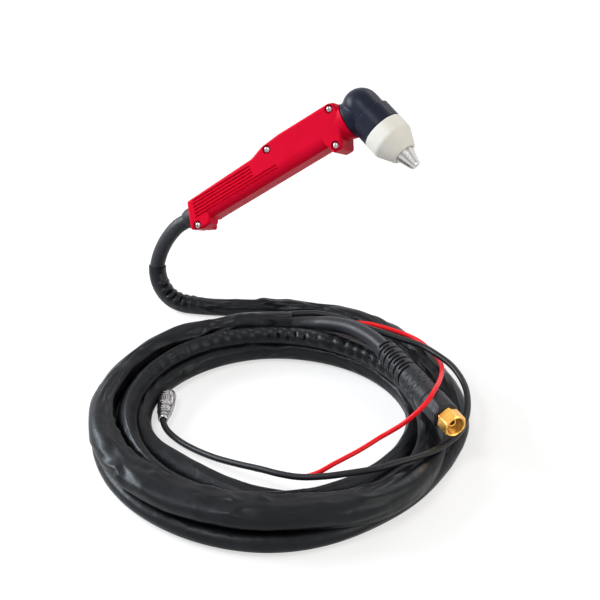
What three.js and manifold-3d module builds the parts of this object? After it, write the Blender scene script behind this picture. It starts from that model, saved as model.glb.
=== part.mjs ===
// A hand plasma torch with its lead: red two-part handle, angled head with a ceramic cup,
// and a jacketed hose coiled on the floor that ends in a union nut, a control plug and a pilot wire.
// Millimetres, +Z up. The origin is the middle of the hand's grasp on the handle.
import * as THREE from "three";
import { mergeVertices } from "three/addons/utils/BufferGeometryUtils.js";
import Module from "manifold-3d";

const wasm = await Module();
wasm.setup();

const degrees = THREE.MathUtils.degToRad;

// ---------------------------------------------------------------- driving dimensions
const GAP = 0.3; // running clearance between pieces that meet
const PAST = 2; // how far a cutting shape runs past what it cuts

// how the torch is held: its own frame has u along the handle, v up to the button, w to the near side
const GRIP = [62, -13, 0];
const HOLD_PITCH = degrees(35.9);
const HOLD_YAW = degrees(-3.3);
const HOLD_ROLL = degrees(49.8);

// handle
const HANDLE_LENGTH = 170;
const HANDLE_WIDTH = 30;
const HANDLE_WALL = 2.4;
const HANDLE_EDGE = 2.5; // bevel along the outline
const GRIP_DEPTH = 24.5; // rear grip, from its top line down to its bottom edge
const HEAD_RISE = 9.7; // how far the button deck stands over the rear of the grip
const LUG_DEPTH = 32.8;
const LUG_LENGTH = 9;
const REAR_RAKE = 8; // how far the rear face leans out at its foot
const REAR_LUG_DEPTH = 30.2;
const FLANK_TOP = -17.5; // where the lower flanks start to slant inward
const FLANK_ANGLE = degrees(52);
const REAR_FLANK = degrees(55.9); // slant of the far side of the rear lug
const REAR_FLANK_TOP = -21;
const GROOVE_DEPTH = 0.8;
const GROOVE_WIDTH = 1.5;
const GROOVE_PITCH = 3;
const GROOVE_FIRST = -2.6;
const GROOVE_START = 6;
const GROOVE_ENDS = [72, 72, 72, 72, 96, 96];

// round front of the handle, against which the head's shoulder sits
const FRONT_AXIS = -10.4;
const FRONT_ROOT = 15.2;
const FRONT_RADIUS = 17;
const FRONT_END = HANDLE_LENGTH + 1.6;

// handle screws
const SCREW_HEAD_RADIUS = 3.2;
const SCREW_HEAD_HEIGHT = 2;
const SCREW_SHANK_RADIUS = 1.3;
const SCREW_LENGTHS = [24, 24, 24, 17];
const SCREW_RECESS = 2.6; // depth of the recess round each head
const BOSS_WALL = 1.5; // round the recess of each screw head
const SCREW_PLACES = [
  [HANDLE_LENGTH - 6.4, 4.4], [93.9, 2.4], [HANDLE_LENGTH - 15.4, -27.6], [0.6, -25],
];

// trigger button and its switch
const BUTTON_FRONT = HANDLE_LENGTH - 35;
const BUTTON_LENGTH = 25;
const BUTTON_WIDTH = 12.6;
const BUTTON_PROUD = 1.9;
const BUTTON_TRAVEL = 2.2;
const BUTTON_SKIRT = 4;
const BUTTON_FLANGE = 2;
const SWITCH_LENGTH = 20;
const SWITCH_WIDTH = 10;
const SWITCH_HEIGHT = 6.2;
const PLUNGER_RADIUS = 1.5;
const PLUNGER_LENGTH = 5.6;
const SHELF_THICKNESS = 1.6;

// head, along its own axis: zero where the cup meets the head, positive towards the nozzle tip
const HEAD_ANGLE = degrees(16.6); // lean of the head axis forward of square to the handle
const HEAD_FOOT = [HANDLE_LENGTH + 25.4, -33.4, 0];
const HEAD_RADIUS = 17.6;
const HEAD_TOP = 46.5;
const COLLAR_LENGTH = 17.4;
const SHOULDER_RADIUS = 16.8; // round stub of the head that meets the handle
const NECK_RADIUS = 8.4;
const NECK_FROM = HANDLE_LENGTH - 14; // where the neck starts inside the handle
const SKIRT_RADIUS = 14.2;
const SKIRT_LENGTH = 8;
const CORE_RADIUS = 8.6;
const CORE_TOP = 34;
const CORE_LENGTH = 46;
const CUP_RADIUS = 20;
const COLLAR_RADIUS = CUP_RADIUS - 0.2;
const CUP_STRAIGHT = 14.9;
const CUP_LENGTH = 30.3;
const CUP_MOUTH = 11.8;
const CUP_WALL = 2.8;
const CUP_LIP = 3.5;
const INSERT_LENGTH = 9.4;
const O_RING_RADIUS = 0.6;
const ELECTRODE_RADIUS = 4.3;
const ELECTRODE_HEAD = 5.2;
const ELECTRODE_TIP = 24;
const SWIRL_RADIUS = 8.2;
const SWIRL_LENGTH = 7.6;
const NOZZLE_REACH = 15.2; // how far the nozzle stands out of the cup
const NOZZLE_BASE = 9;
const NOZZLE_TIP = 4.8;
const NOZZLE_SHOULDER = 11;
const ORIFICE_RADIUS = 0.7;

// gas and power line inside the handle
const HOSE_RADIUS = 7;
const HOSE_AXIS = -11.6; // height of the hose's axis in the handle
const HOSE_BORE = 4.3;
const HOSE_TAIL_END = 62;
const BUSH_RADIUS = 9.5;
const BUSH_FROM = -14;
const BUSH_TO = 6;
const FERRULE_LENGTH = 24;
const FERRULE_WALL = 1.4;
const BARB_LENGTH = 26;
const COUPLING_LENGTH = 30;
const COUPLING_RADIUS = 7.2;
const TUBE_NUT_LENGTH = 20;
const TUBE_RADIUS = 4;
const SWITCH_WIRE_RADIUS = 1.3;

// floor and coil
const FLOOR = -134;
const FLOOR_GAP = 0.2;
const JACKET_WIDTH = 16.6;
const JACKET_HEIGHT = 15.2;
const COIL_INNER = 104; // radius of the reversing loop, to the middle of the jacket
const COIL_PITCH = 18.5; // how much the radius changes in one loop
const LAYER_PITCH = 15.7;
const LOOPS_IN = 2.5; // loops from the start to the reversal, below
const LOOPS_FROM = 0.2; // where the lead-in joins the loops
const LOOPS_TO = 4.018; // where the jacket is cut off
const STEPS_PER_LOOP = 24;
const COIL_OVAL = [1.05, 0.98];
const LOWER_CENTRE = [24, -195];
const UPPER_CENTRE = [18, -200];

// connector on the hose
const CONNECTOR_FROM = [118, -134.5, -90];
const CONNECTOR_TURN = degrees(-63.2); // heading of its axis
const BOOT_LENGTH = 80;
const BOOT_RADIUS = 11.3;
const BOOT_NECK = 9.2;
const RIB_COUNT = 11;
const RIB_PITCH = 3.9;
const RIB_DEPTH = 1.3;
const BODY_RADIUS = 12;
const BODY_LENGTH = 24;
const NUT_ACROSS_FLATS = 18.6;
const NUT_LENGTH = 14;
const NUT_BORE = 7.7;
const NUT_LIP = 2;
const NIPPLE_RADIUS = 4.7;
const NIPPLE_NOSE = 3.75;
const NIPPLE_FLANGE = 7;
const NIPPLE_HOLE = 2;

// control cable and plug
const CABLE_RADIUS = 2.75;
const PLUG_FROM = [-74.8, -187.5, FLOOR + FLOOR_GAP + 7.5];
const PLUG_TURN = degrees(86.6);
const PLUG_LENGTH = 35;
const PLUG_CLAMP_LENGTH = 9;
const PLUG_RING_RADIUS = 7.5;
const PLUG_RING_LENGTH = 20;
const PLUG_SHELL_RADIUS = 6.6;
const PLUG_BARREL_RADIUS = 5;
const PLUG_INSERT_RADIUS = 3.8;
const PIN_RADIUS = 0.6;
const PIN_SPREAD = 1.8;
const PIN_REACH = 4.4;

// pilot wire
const WIRE_RADIUS = 2;
const TERMINAL_RADIUS = 2.3;
const TERMINAL_LENGTH = 14;

// routes, chosen by hand in the shared frame
const HOSE_ROUTE = [
  [-62.3, 4.5, -44], [-70.5, 5, -50], [-78.6, 5.4, -60], [-86, 5.2, -73],
  [-91, 3.2, -86.5], [-92.8, 0.4, -98.5], [-89.4, -4.6, -112], [-79.8, -10.8, -122.2],
  [-68.5, -14.35, -126.2], [-56, -16.35, -126.2],
];
const LEAD_ROUTE = [
  [-55.6, -16.4], [-40, -18.9], [-22, -19.8], [-4, -20], [30, -20.5], [62, -25], [92, -36],
  [118, -54], [140, -79], [158, -112],
];
const TAIL_LIFT = (HOSE_RADIUS - 7) * 1.8; // a thicker hose passes higher over the loops below
const TAIL_ROUTE = [
  [34 + TAIL_LIFT, -71.37, -110.5], [46, -70.92, -110.5 + TAIL_LIFT], [58, -74, -107.3 + TAIL_LIFT],
  [70, -81, -101.4 + TAIL_LIFT], [85, -91.5, -96.2 + TAIL_LIFT], [98, -105, -92.6 + TAIL_LIFT],
  [109, -119.3, -90.6], [118, -134.5, -90],
  [125.3, -148.9, -90], [133.4, -165, -90],
];
const CABLE_ROUTE = [
  [33, -63.4, -102.9], [46, -62.9, -102.2], [62, -64.7, -101.4], [84.6, -74.5, -100.8],
  [98.9, -83.6, -101], [116.7, -94.2, -101], [133.2, -105.3, -100], [152.1, -117.4, -99],
  [164.5, -131.5, -98], [176.8, -148.3, -98.5], [185.4, -171, -101], [186.4, -193, -104],
  [182.4, -213, -106.4], [173.5, -231.5, -107], [160, -246.5, -106.2], [143, -261.5, -102.4],
  [126, -272, -99.8],
  [107.7, -280.4, -99.5], [83.5, -285.3, -100.5], [63.5, -286.4, -103], [43.5, -283.9, -106],
  [27.3, -276.9, -109], [10.9, -266.2, -113], [-7.6, -254.4, -118], [-29.1, -239.3, -123.5],
  [-49.5, -222, -127.5], [-62.5, -208.8, -128.8], [-71, -198.3, -127.6], [-74.8, -187.5, -126.3],
  [-74.3, -179.6, -126.3],
];
const WIRE_ROUTE = [
  [33, -62.3, -116.1], [50, -61.2, -116.2], [70, -57.5, -116.4], [106.5, -61.2, -115],
  [117.4, -66.3, -114.5], [128.2, -72.3, -114], [138.8, -79.3, -113.5], [147.5, -86.7, -113],
  [154.2, -95.4, -112], [159.7, -106.4, -110.8], [164.3, -118.6, -109], [167.4, -132.4, -105.4],
  [167.4, -150.7, -98.6], [164.5, -173, -89], [160.3, -194.7, -79.6], [155.6, -211, -74.2],
  [151.2, -221.9, -73.4], [146.1, -228.5, -76], [140.4, -232.2, -80.5], [133.6, -234.2, -86.5],
  [126.7, -235.8, -92], [118.5, -238.8, -96], [110.2, -241.9, -99.5], [92.5, -255.4, -102],
  [71, -270.6, -103.6], [57.2, -278.6, -106.4], [43.5, -279, -110.6], [27.3, -272, -114.4],
  [12, -261.8, -118],
];
const TERMINAL_END = [-0.2, -254.2, -122];

// ---------------------------------------------------------------- finishes
const finishes = {
  red_plastic: { color: 0xd8182c, roughness: 0.42, metalness: 0 },
  white_plastic: { color: 0xe6e4de, roughness: 0.4, metalness: 0 },
  grey_plastic: { color: 0x4a4c50, roughness: 0.5, metalness: 0 },
  head_black: { color: 0x1a1d26, roughness: 0.38, metalness: 0 },
  ceramic: { color: 0xe9e2d0, roughness: 0.45, metalness: 0 },
  swirl_ceramic: { color: 0x8d8c88, roughness: 0.5, metalness: 0 },
  plated_copper: { color: 0xb9bbbd, roughness: 0.25, metalness: 1 },
  copper: { color: 0xb8704a, roughness: 0.3, metalness: 1 },
  brass: { color: 0xd9a441, roughness: 0.28, metalness: 1 },
  steel: { color: 0xc2c4c6, roughness: 0.3, metalness: 1 },
  hose_rubber: { color: 0x1d1e20, roughness: 0.55, metalness: 0 },
  jacket_leather: { color: 0x1b1c20, roughness: 0.42, metalness: 0 },
  boot_rubber: { color: 0x26282b, roughness: 0.6, metalness: 0 },
  cable_black: { color: 0x17181a, roughness: 0.4, metalness: 0 },
  wire_red: { color: 0xe01420, roughness: 0.4, metalness: 0 },
};

// ---------------------------------------------------------------- helpers
// Keep positions only, share the corners and turn the faces outward.
function closed(geometry) {
  const bare = (geometry.index ? geometry : geometry.clone()).clone();
  bare.deleteAttribute("normal");
  bare.deleteAttribute("uv");
  const merged = mergeVertices(bare, 1e-4);
  const at = (i) => new THREE.Vector3().fromBufferAttribute(merged.attributes.position, i);
  const index = merged.index.array;
  let volume = 0;
  for (let i = 0; i < index.length; i += 3) {
    volume += at(index[i]).dot(at(index[i + 1]).cross(at(index[i + 2])));
  }
  if (volume < 0) {
    for (let i = 0; i < index.length; i += 3) {
      [index[i], index[i + 1]] = [index[i + 1], index[i]];
    }
  }
  return merged;
}

function solid(geometry) {
  const body = closed(geometry);
  return new wasm.Manifold(new wasm.Mesh({
    numProp: 3,
    vertProperties: new Float32Array(body.attributes.position.array),
    triVerts: new Uint32Array(body.index.array),
  }));
}

function surface(body) {
  const mesh = body.getMesh();
  const geometry = new THREE.BufferGeometry();
  geometry.setAttribute("position", new THREE.BufferAttribute(Float32Array.from(mesh.vertProperties), 3));
  geometry.setIndex(Array.from(mesh.triVerts));
  return geometry;
}

function joined(...geometries) {
  return surface(geometries.map(solid).reduce((whole, next) => whole.add(next)));
}

function cut(geometry, ...tools) {
  return surface(tools.map(solid).reduce((left, tool) => left.subtract(tool), solid(geometry)));
}

function common(geometry, other) {
  return surface(solid(geometry).intersect(solid(other)));
}

// A profile of [radius, place along the axis] turned round the Y axis.
function turned(profile, sides = 32) {
  const line = profile.map(([radius, place]) => new THREE.Vector2(radius, place));
  return new THREE.LatheGeometry(line.concat(line[0].clone()), sides);
}

function ring(inner, outer, from, to, sides = 32) {
  return turned([[inner, from], [outer, from], [outer, to], [inner, to]], sides);
}

function rod(radius, from, to, sides = 24) {
  return turned([[0, from], [radius, from], [radius, to], [0, to]], sides);
}

// A box from its lowest to its highest corner.
function block(low, high) {
  const size = high.map((value, i) => value - low[i]);
  const box = new THREE.BoxGeometry(...size);
  return box.translate(...low.map((value, i) => value + size[i] / 2));
}

// An outline in u and v, from one side to the other along w.
function slab(outline, from, to, bevel = 0) {
  const shape = new THREE.Shape(outline.map(([u, v]) => new THREE.Vector2(u, v)));
  const geometry = new THREE.ExtrudeGeometry(shape, {
    depth: to - from - 2 * bevel,
    bevelEnabled: bevel > 0,
    bevelThickness: bevel,
    bevelSize: bevel,
    bevelOffset: -bevel,
    bevelSegments: 2,
    curveSegments: 6,
  });
  return geometry.translate(0, 0, from + bevel);
}

// The outline moved inward by a wall, corner by corner.
function inset(outline, wall) {
  const area = THREE.ShapeUtils.area(outline.map(([x, y]) => new THREE.Vector2(x, y)));
  const turn = Math.sign(area);
  const count = outline.length;
  return outline.map((corner, i) => {
    const before = outline[(i + count - 1) % count];
    const after = outline[(i + 1) % count];
    const a = new THREE.Vector2(corner[0] - before[0], corner[1] - before[1]).normalize();
    const b = new THREE.Vector2(after[0] - corner[0], after[1] - corner[1]).normalize();
    const normal = new THREE.Vector2(-a.y - b.y, a.x + b.x).normalize().multiplyScalar(turn);
    const lean = normal.dot(new THREE.Vector2(-a.y, a.x).multiplyScalar(turn));
    return [corner[0] + (normal.x * wall) / lean, corner[1] + (normal.y * wall) / lean];
  });
}

// A round tube of an outline with few sides, along points of one smooth curve.
function tube(points, radius, sides, steps) {
  const outline = [];
  for (let i = 0; i < sides; i += 1) {
    const angle = (2 * Math.PI * i) / sides;
    outline.push(new THREE.Vector2(radius * Math.cos(angle), radius * Math.sin(angle)));
  }
  const path = new THREE.CatmullRomCurve3(points.map((p) => new THREE.Vector3(...p)));
  return new THREE.ExtrudeGeometry(new THREE.Shape(outline), { steps, extrudePath: path });
}

// Turns the Y axis of a turned piece onto an axis through a point.
function along(geometry, from, direction) {
  const y = direction.clone().normalize();
  const side = Math.abs(y.z) < 0.9 ? new THREE.Vector3(0, 0, 1) : new THREE.Vector3(1, 0, 0);
  const x = y.clone().cross(side).normalize();
  const z = x.clone().cross(y);
  const place = new THREE.Matrix4().makeBasis(x, y, z).setPosition(...from);
  return geometry.clone().applyMatrix4(place);
}

const U = new THREE.Vector3(1, 0, 0);
const V = new THREE.Vector3(0, 1, 0);
const W = new THREE.Vector3(0, 0, 1);

// ---------------------------------------------------------------- groups
const model = new THREE.Group();
const held = new THREE.Group();
held.rotation.set(HOLD_ROLL, -HOLD_PITCH, HOLD_YAW, "ZYX");
const torch = new THREE.Group();
torch.position.set(-GRIP[0], -GRIP[1], -GRIP[2]);
held.add(torch);
model.add(held);

function piece(parent, name, geometry, finish) {
  const mesh = new THREE.Mesh(closed(geometry), new THREE.MeshStandardMaterial(finishes[finish]));
  mesh.name = name;
  parent.add(mesh);
}

// ---------------------------------------------------------------- head frame
const headDirection = new THREE.Vector3(Math.sin(HEAD_ANGLE), -Math.cos(HEAD_ANGLE), 0);

function onHead(geometry) {
  return along(geometry, HEAD_FOOT, headDirection);
}

// The point on the head's axis at a height v.
function headAxisAt(v) {
  return HEAD_FOOT[0] + (HEAD_FOOT[1] - v) * Math.tan(HEAD_ANGLE);
}

const neckHeight = -6.6;

// The outside of the insulator above the cup, grown by a clearance.
function headOutside(grow) {
  const domeFoot = HEAD_TOP - HEAD_RADIUS;
  const profile = [[0, grow], [COLLAR_RADIUS + grow, grow], [COLLAR_RADIUS + grow, 1 - COLLAR_LENGTH]];
  profile.push([HEAD_RADIUS + grow, -COLLAR_LENGTH - grow]);
  for (let i = 0; i <= 6; i += 1) {
    const angle = (Math.PI / 2) * (i / 6);
    const reach = HEAD_RADIUS + grow;
    profile.push([reach * Math.cos(angle), -domeFoot - reach * Math.sin(angle)]);
  }
  profile[profile.length - 1][0] = 0;
  return turned(profile, 40);
}

// ---------------------------------------------------------------- handle
const lugFront = HANDLE_LENGTH - 11;
const lugRear = lugFront - LUG_LENGTH - 3;
const outline = [
  [0, 0], [76, 2.8], [90, HEAD_RISE - 2.1], [109, HEAD_RISE - 0.3], [HANDLE_LENGTH - 6, HEAD_RISE],
  [HANDLE_LENGTH, HEAD_RISE - 2], [HANDLE_LENGTH, -6.3], [HANDLE_LENGTH - 2, -12],
  [lugFront + 4, -23.8], [lugFront, -LUG_DEPTH], [lugFront - LUG_LENGTH, -LUG_DEPTH],
  [lugRear, -GRIP_DEPTH], [16, -GRIP_DEPTH], [12.5, -REAR_LUG_DEPTH + 0.6], [3, -REAR_LUG_DEPTH],
  [-REAR_RAKE, -25.5],
];
const halfWidth = HANDLE_WIDTH / 2;

// What slants off one lower flank; inside moves it into the wall.
function flankCut(side, inside) {
  const from = 15 + inside;
  const to = lugRear - inside;
  const depth = 12;
  const reach = 30;
  const box = new THREE.BoxGeometry(to - from, reach, depth);
  box.translate(0, -reach / 2 + PAST * 2, side * (depth / 2 - inside));
  box.rotateX(side * FLANK_ANGLE);
  return box.translate((from + to) / 2, FLANK_TOP, side * halfWidth);
}

// What slants off the far side of the rear lug.
function rearFlankCut() {
  const box = new THREE.BoxGeometry(50, 40, 12);
  box.translate(0, -16, -6);
  box.rotateX(-REAR_FLANK);
  return box.translate(-8, REAR_FLANK_TOP, -halfWidth);
}

function groove(index, side) {
  const v = GROOVE_FIRST - index * GROOVE_PITCH;
  const face = side * halfWidth;
  const low = Math.min(face, face - side * GROOVE_DEPTH) - (side < 0 ? PAST : 0);
  const high = Math.max(face, face - side * GROOVE_DEPTH) + (side > 0 ? PAST : 0);
  return block(
    [GROOVE_START - index * 0.8, v - GROOVE_WIDTH / 2, low],
    [GROOVE_ENDS[index], v + GROOVE_WIDTH / 2, high],
  );
}

function handleBlank() {
  let body = slab(outline, -halfWidth, halfWidth, HANDLE_EDGE);
  body = cut(body, flankCut(1, 0), flankCut(-1, 0), rearFlankCut());
  const front = turned([
    [0, HANDLE_LENGTH - 20], [12, HANDLE_LENGTH - 20], [FRONT_ROOT, HANDLE_LENGTH - 7],
    [FRONT_RADIUS, FRONT_END - 1.5], [FRONT_RADIUS, FRONT_END], [0, FRONT_END],
  ], 40);
  body = joined(body, along(front, [0, FRONT_AXIS, 0], U));
  for (const side of [-1, 1]) {
    body = cut(body, ...GROOVE_ENDS.map((_, i) => groove(i, side)));
  }
  return body;
}

function handleCavity() {
  const room = slab(inset(outline, HANDLE_WALL), HANDLE_WALL - halfWidth, halfWidth - HANDLE_WALL);
  return cut(room, flankCut(1, HANDLE_WALL), flankCut(-1, HANDLE_WALL));
}

const recessRadius = SCREW_HEAD_RADIUS + 0.6;
const recessFloor = halfWidth - SCREW_RECESS;
const shankHole = SCREW_SHANK_RADIUS + GAP;
const shankEnds = SCREW_LENGTHS.map((length) => recessFloor - length);

function handleShell() {
  let shell = cut(handleBlank(), handleCavity());
  for (const [i, [u, v]] of SCREW_PLACES.entries()) {
    const boss = along(rod(recessRadius + BOSS_WALL, -halfWidth + 1, halfWidth - 1), [u, v, 0], W);
    shell = joined(shell, common(boss, slab(inset(outline, 0.6), -halfWidth, halfWidth)));
    const hole = along(rod(shankHole, shankEnds[i] - GAP, halfWidth + PAST, 16), [u, v, 0], W);
    const recess = along(rod(recessRadius, recessFloor, halfWidth + PAST, 20), [u, v, 0], W);
    shell = cut(shell, hole, recess);
  }
  const neckBore = along(rod(NECK_RADIUS + GAP, NECK_FROM - 16, HANDLE_LENGTH + 30, 32), [0, neckHeight, 0], U);
  const rearBore = along(rod(BUSH_RADIUS + GAP, -30, BUSH_TO + PAST, 28), [0, HOSE_AXIS, 0], U);
  const window = block(
    [BUTTON_FRONT - BUTTON_LENGTH - GAP, 4, -BUTTON_WIDTH / 2 - GAP],
    [BUTTON_FRONT + GAP, HEAD_RISE + PAST, BUTTON_WIDTH / 2 + GAP],
  );
  return cut(shell, neckBore, rearBore, window, onHead(headOutside(GAP)));
}

const splitGap = GAP / 2;
const shell = handleShell();
const wholeSide = 60;
const nearSide = block([-wholeSide, -wholeSide, splitGap], [HANDLE_LENGTH + wholeSide, wholeSide, wholeSide]);
const farSide = block([-wholeSide, -wholeSide, -wholeSide], [HANDLE_LENGTH + wholeSide, wholeSide, -splitGap]);

// the switch shelf belongs to the far shell
const switchFloor = -6.2;
const switchMiddle = BUTTON_FRONT - BUTTON_LENGTH / 2;
const shelf = block(
  [switchMiddle - SWITCH_LENGTH / 2 - 2, switchFloor - GAP - SHELF_THICKNESS, -halfWidth + 1],
  [switchMiddle + SWITCH_LENGTH / 2 + 2, switchFloor - GAP, SWITCH_WIDTH / 2],
);
piece(torch, "handle_near_half", common(shell, nearSide), "red_plastic");
piece(torch, "handle_far_half", joined(common(shell, farSide), shelf), "red_plastic");

for (const [i, [u, v]] of SCREW_PLACES.entries()) {
  const seat = recessFloor + GAP;
  const foot = shankEnds[i] + GAP;
  const screw = turned([
    [0, foot], [SCREW_SHANK_RADIUS, foot + 1], [SCREW_SHANK_RADIUS, seat],
    [SCREW_HEAD_RADIUS, seat], [SCREW_HEAD_RADIUS, seat + SCREW_HEAD_HEIGHT * 0.5],
    [SCREW_HEAD_RADIUS * 0.7, seat + SCREW_HEAD_HEIGHT], [0, seat + SCREW_HEAD_HEIGHT],
  ], 16);
  const slots = [[2.2, 0.4], [0.4, 2.2]].map(([a, b]) => block(
    [u - a, v - b, seat + SCREW_HEAD_HEIGHT - 1],
    [u + a, v + b, seat + SCREW_HEAD_HEIGHT + 1],
  ));
  piece(torch, `handle_screw_${i + 1}`, cut(along(screw, [u, v, 0], W), ...slots), "steel");
}

// ---------------------------------------------------------------- trigger button and switch
function deckHeight(u) {
  const [, , , low, high] = outline;
  return low[1] + ((high[1] - low[1]) * (u - low[0])) / (high[0] - low[0]);
}

const buttonTop = deckHeight(switchMiddle) + BUTTON_PROUD;
const flangeTop = deckHeight(BUTTON_FRONT - BUTTON_LENGTH) - HANDLE_WALL - GAP;
const buttonFoot = flangeTop - BUTTON_SKIRT;

function buttonShape() {
  const rear = BUTTON_FRONT - BUTTON_LENGTH;
  const edge = 1.2;
  const side = [
    [rear, buttonFoot], [BUTTON_FRONT, buttonFoot], [BUTTON_FRONT, buttonTop - edge],
    [BUTTON_FRONT - edge, buttonTop], [rear + edge, buttonTop], [rear, buttonTop - edge],
  ];
  const cap = slab(side, -BUTTON_WIDTH / 2, BUTTON_WIDTH / 2);
  const flange = block(
    [rear - 1.5, flangeTop - BUTTON_FLANGE, -BUTTON_WIDTH / 2 - 1.5],
    [BUTTON_FRONT + 1.5, flangeTop, BUTTON_WIDTH / 2 + 1.5],
  );
  return joined(cap, flange);
}

piece(torch, "trigger_button", buttonShape(), "white_plastic");

const switchTop = switchFloor + SWITCH_HEIGHT;
const plungerTop = buttonFoot - GAP;
const plunger = along(rod(PLUNGER_RADIUS, plungerTop - PLUNGER_LENGTH, plungerTop, 16), [switchMiddle, 0, 0], V);
const plungerWell = along(
  rod(PLUNGER_RADIUS + GAP, plungerTop - PLUNGER_LENGTH - BUTTON_TRAVEL - GAP, switchTop + PAST, 16),
  [switchMiddle, 0, 0],
  V,
);
const switchCase = block(
  [switchMiddle - SWITCH_LENGTH / 2, switchFloor, -SWITCH_WIDTH / 2],
  [switchMiddle + SWITCH_LENGTH / 2, switchTop, SWITCH_WIDTH / 2],
);
piece(torch, "switch_body", cut(switchCase, plungerWell), "grey_plastic");
piece(torch, "switch_plunger", plunger, "white_plastic");

// the switch wire runs under the middle screw's boss and beside the ferrule
const wireFrom = switchMiddle - SWITCH_LENGTH / 2 - GAP;
const bossFoot = SCREW_PLACES[1][1] - recessRadius - BOSS_WALL;
const wireHeight = bossFoot - 0.2 - SWITCH_WIRE_RADIUS;
const ferruleReach = HOSE_RADIUS + GAP + FERRULE_WALL + SWITCH_WIRE_RADIUS + 0.92;
const wireSide = Math.sqrt(ferruleReach ** 2 - (wireHeight - HOSE_AXIS) ** 2);
piece(torch, "switch_wire", tube([
  [wireFrom, switchFloor + 3, 3], [wireFrom - 8, switchFloor + 2.8, 4],
  [wireFrom - 20, wireHeight, wireSide - 0.6], [wireFrom - 42, wireHeight, wireSide],
  [40, wireHeight, wireSide], [20, wireHeight, wireSide - 0.2],
  [BUSH_TO + GAP + 1, wireHeight - 0.2, wireSide - 0.6],
], SWITCH_WIRE_RADIUS, 8, 22), "cable_black");

// ---------------------------------------------------------------- head and consumables
function insulatorShape() {
  const bodyShape = onHead(headOutside(0));
  const skirt = onHead(turned([
    [0, -4], [SKIRT_RADIUS, -4], [SKIRT_RADIUS, 4.8], [SKIRT_RADIUS - 1.3, 4.8],
    [SKIRT_RADIUS - 1.3, 6.4], [SKIRT_RADIUS, 6.4], [SKIRT_RADIUS, SKIRT_LENGTH], [0, SKIRT_LENGTH],
  ], 32));
  const shoulder = along(turned([
    [0, FRONT_END + GAP], [SHOULDER_RADIUS, FRONT_END + GAP], [SHOULDER_RADIUS - 1.2, headAxisAt(FRONT_AXIS)],
    [0, headAxisAt(FRONT_AXIS)],
  ], 40), [0, FRONT_AXIS, 0], U);
  const neck = along(rod(NECK_RADIUS, NECK_FROM, headAxisAt(neckHeight), 32), [0, neckHeight, 0], U);
  const coreBore = onHead(rod(CORE_RADIUS + GAP, -CORE_TOP - GAP, SKIRT_LENGTH + PAST, 28));
  const tubeBore = along(rod(TUBE_RADIUS + 0.6, NECK_FROM - PAST, headAxisAt(neckHeight), 20), [0, neckHeight, 0], U);
  return cut(joined(bodyShape, shoulder, skirt, neck), coreBore, tubeBore);
}

piece(torch, "head_insulator", insulatorShape(), "head_black");

const coreFoot = CORE_LENGTH - CORE_TOP;
piece(torch, "head_core", onHead(turned([
  [0, -CORE_TOP], [CORE_RADIUS, -CORE_TOP], [CORE_RADIUS, coreFoot],
  [ELECTRODE_RADIUS + GAP, coreFoot], [ELECTRODE_RADIUS + GAP, -6], [0, -6],
], 28)), "brass");

piece(torch, "electrode", onHead(turned([
  [0, -6 + GAP], [ELECTRODE_RADIUS, -6 + GAP], [ELECTRODE_RADIUS, coreFoot + GAP],
  [ELECTRODE_HEAD, coreFoot + GAP], [ELECTRODE_HEAD, ELECTRODE_TIP - 3],
  [ELECTRODE_HEAD - 2.4, ELECTRODE_TIP], [0, ELECTRODE_TIP],
], 24)), "copper");

const swirlFrom = coreFoot + GAP;
const swirlTo = swirlFrom + SWIRL_LENGTH;
piece(torch, "swirl_ring", onHead(ring(ELECTRODE_HEAD + GAP, SWIRL_RADIUS, swirlFrom, swirlTo, 28)), "swirl_ceramic");

const cupLipFrom = CUP_LENGTH - CUP_LIP;
const nozzleTip = CUP_LENGTH + NOZZLE_REACH;
piece(torch, "nozzle_tip", onHead(turned([
  [ELECTRODE_HEAD + 0.9, swirlTo + GAP], [NOZZLE_SHOULDER, swirlTo + GAP],
  [NOZZLE_SHOULDER, cupLipFrom - GAP], [NOZZLE_BASE, cupLipFrom - GAP], [NOZZLE_BASE, CUP_LENGTH + 1.6],
  [NOZZLE_TIP, nozzleTip - 1.4], [NOZZLE_TIP, nozzleTip], [ORIFICE_RADIUS, nozzleTip],
  [ORIFICE_RADIUS, nozzleTip - 7], [ELECTRODE_HEAD - 1.4, ELECTRODE_TIP + 5],
  [ELECTRODE_HEAD + 0.9, ELECTRODE_TIP - 1],
], 32)), "plated_copper");

const cupInside = CUP_RADIUS - CUP_WALL;
piece(torch, "shield_cup", onHead(turned([
  [cupInside, GAP], [CUP_RADIUS - 0.5, GAP], [CUP_RADIUS, 0.8], [CUP_RADIUS, CUP_STRAIGHT],
  [CUP_MOUTH, CUP_LENGTH], [NOZZLE_BASE + GAP, CUP_LENGTH], [NOZZLE_BASE + GAP, cupLipFrom],
  [NOZZLE_SHOULDER + GAP + 0.4, cupLipFrom], [NOZZLE_SHOULDER + GAP + 0.8, cupLipFrom - 3],
  [cupInside, CUP_STRAIGHT - 1],
], 40)), "ceramic");

const insertFrom = 2 * GAP;
const insertInside = SKIRT_RADIUS + 0.5;
const insertShape = ring(insertInside, cupInside - GAP, insertFrom, insertFrom + INSERT_LENGTH, 36);
piece(torch, "cup_insert", onHead(insertShape), "brass");

const sealMiddle = SKIRT_RADIUS - 1.3 + GAP / 2 + O_RING_RADIUS;
piece(torch, "head_seal", onHead(turned([0, 1, 2, 3, 4, 5].map((i) => [
  sealMiddle + O_RING_RADIUS * Math.cos((i * Math.PI) / 3),
  5.6 + O_RING_RADIUS * Math.sin((i * Math.PI) / 3),
]), 28)), "boot_rubber");

// ---------------------------------------------------------------- gas and power line in the handle
function inHandle(geometry) {
  return along(geometry, [0, HOSE_AXIS, 0], U);
}

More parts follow.
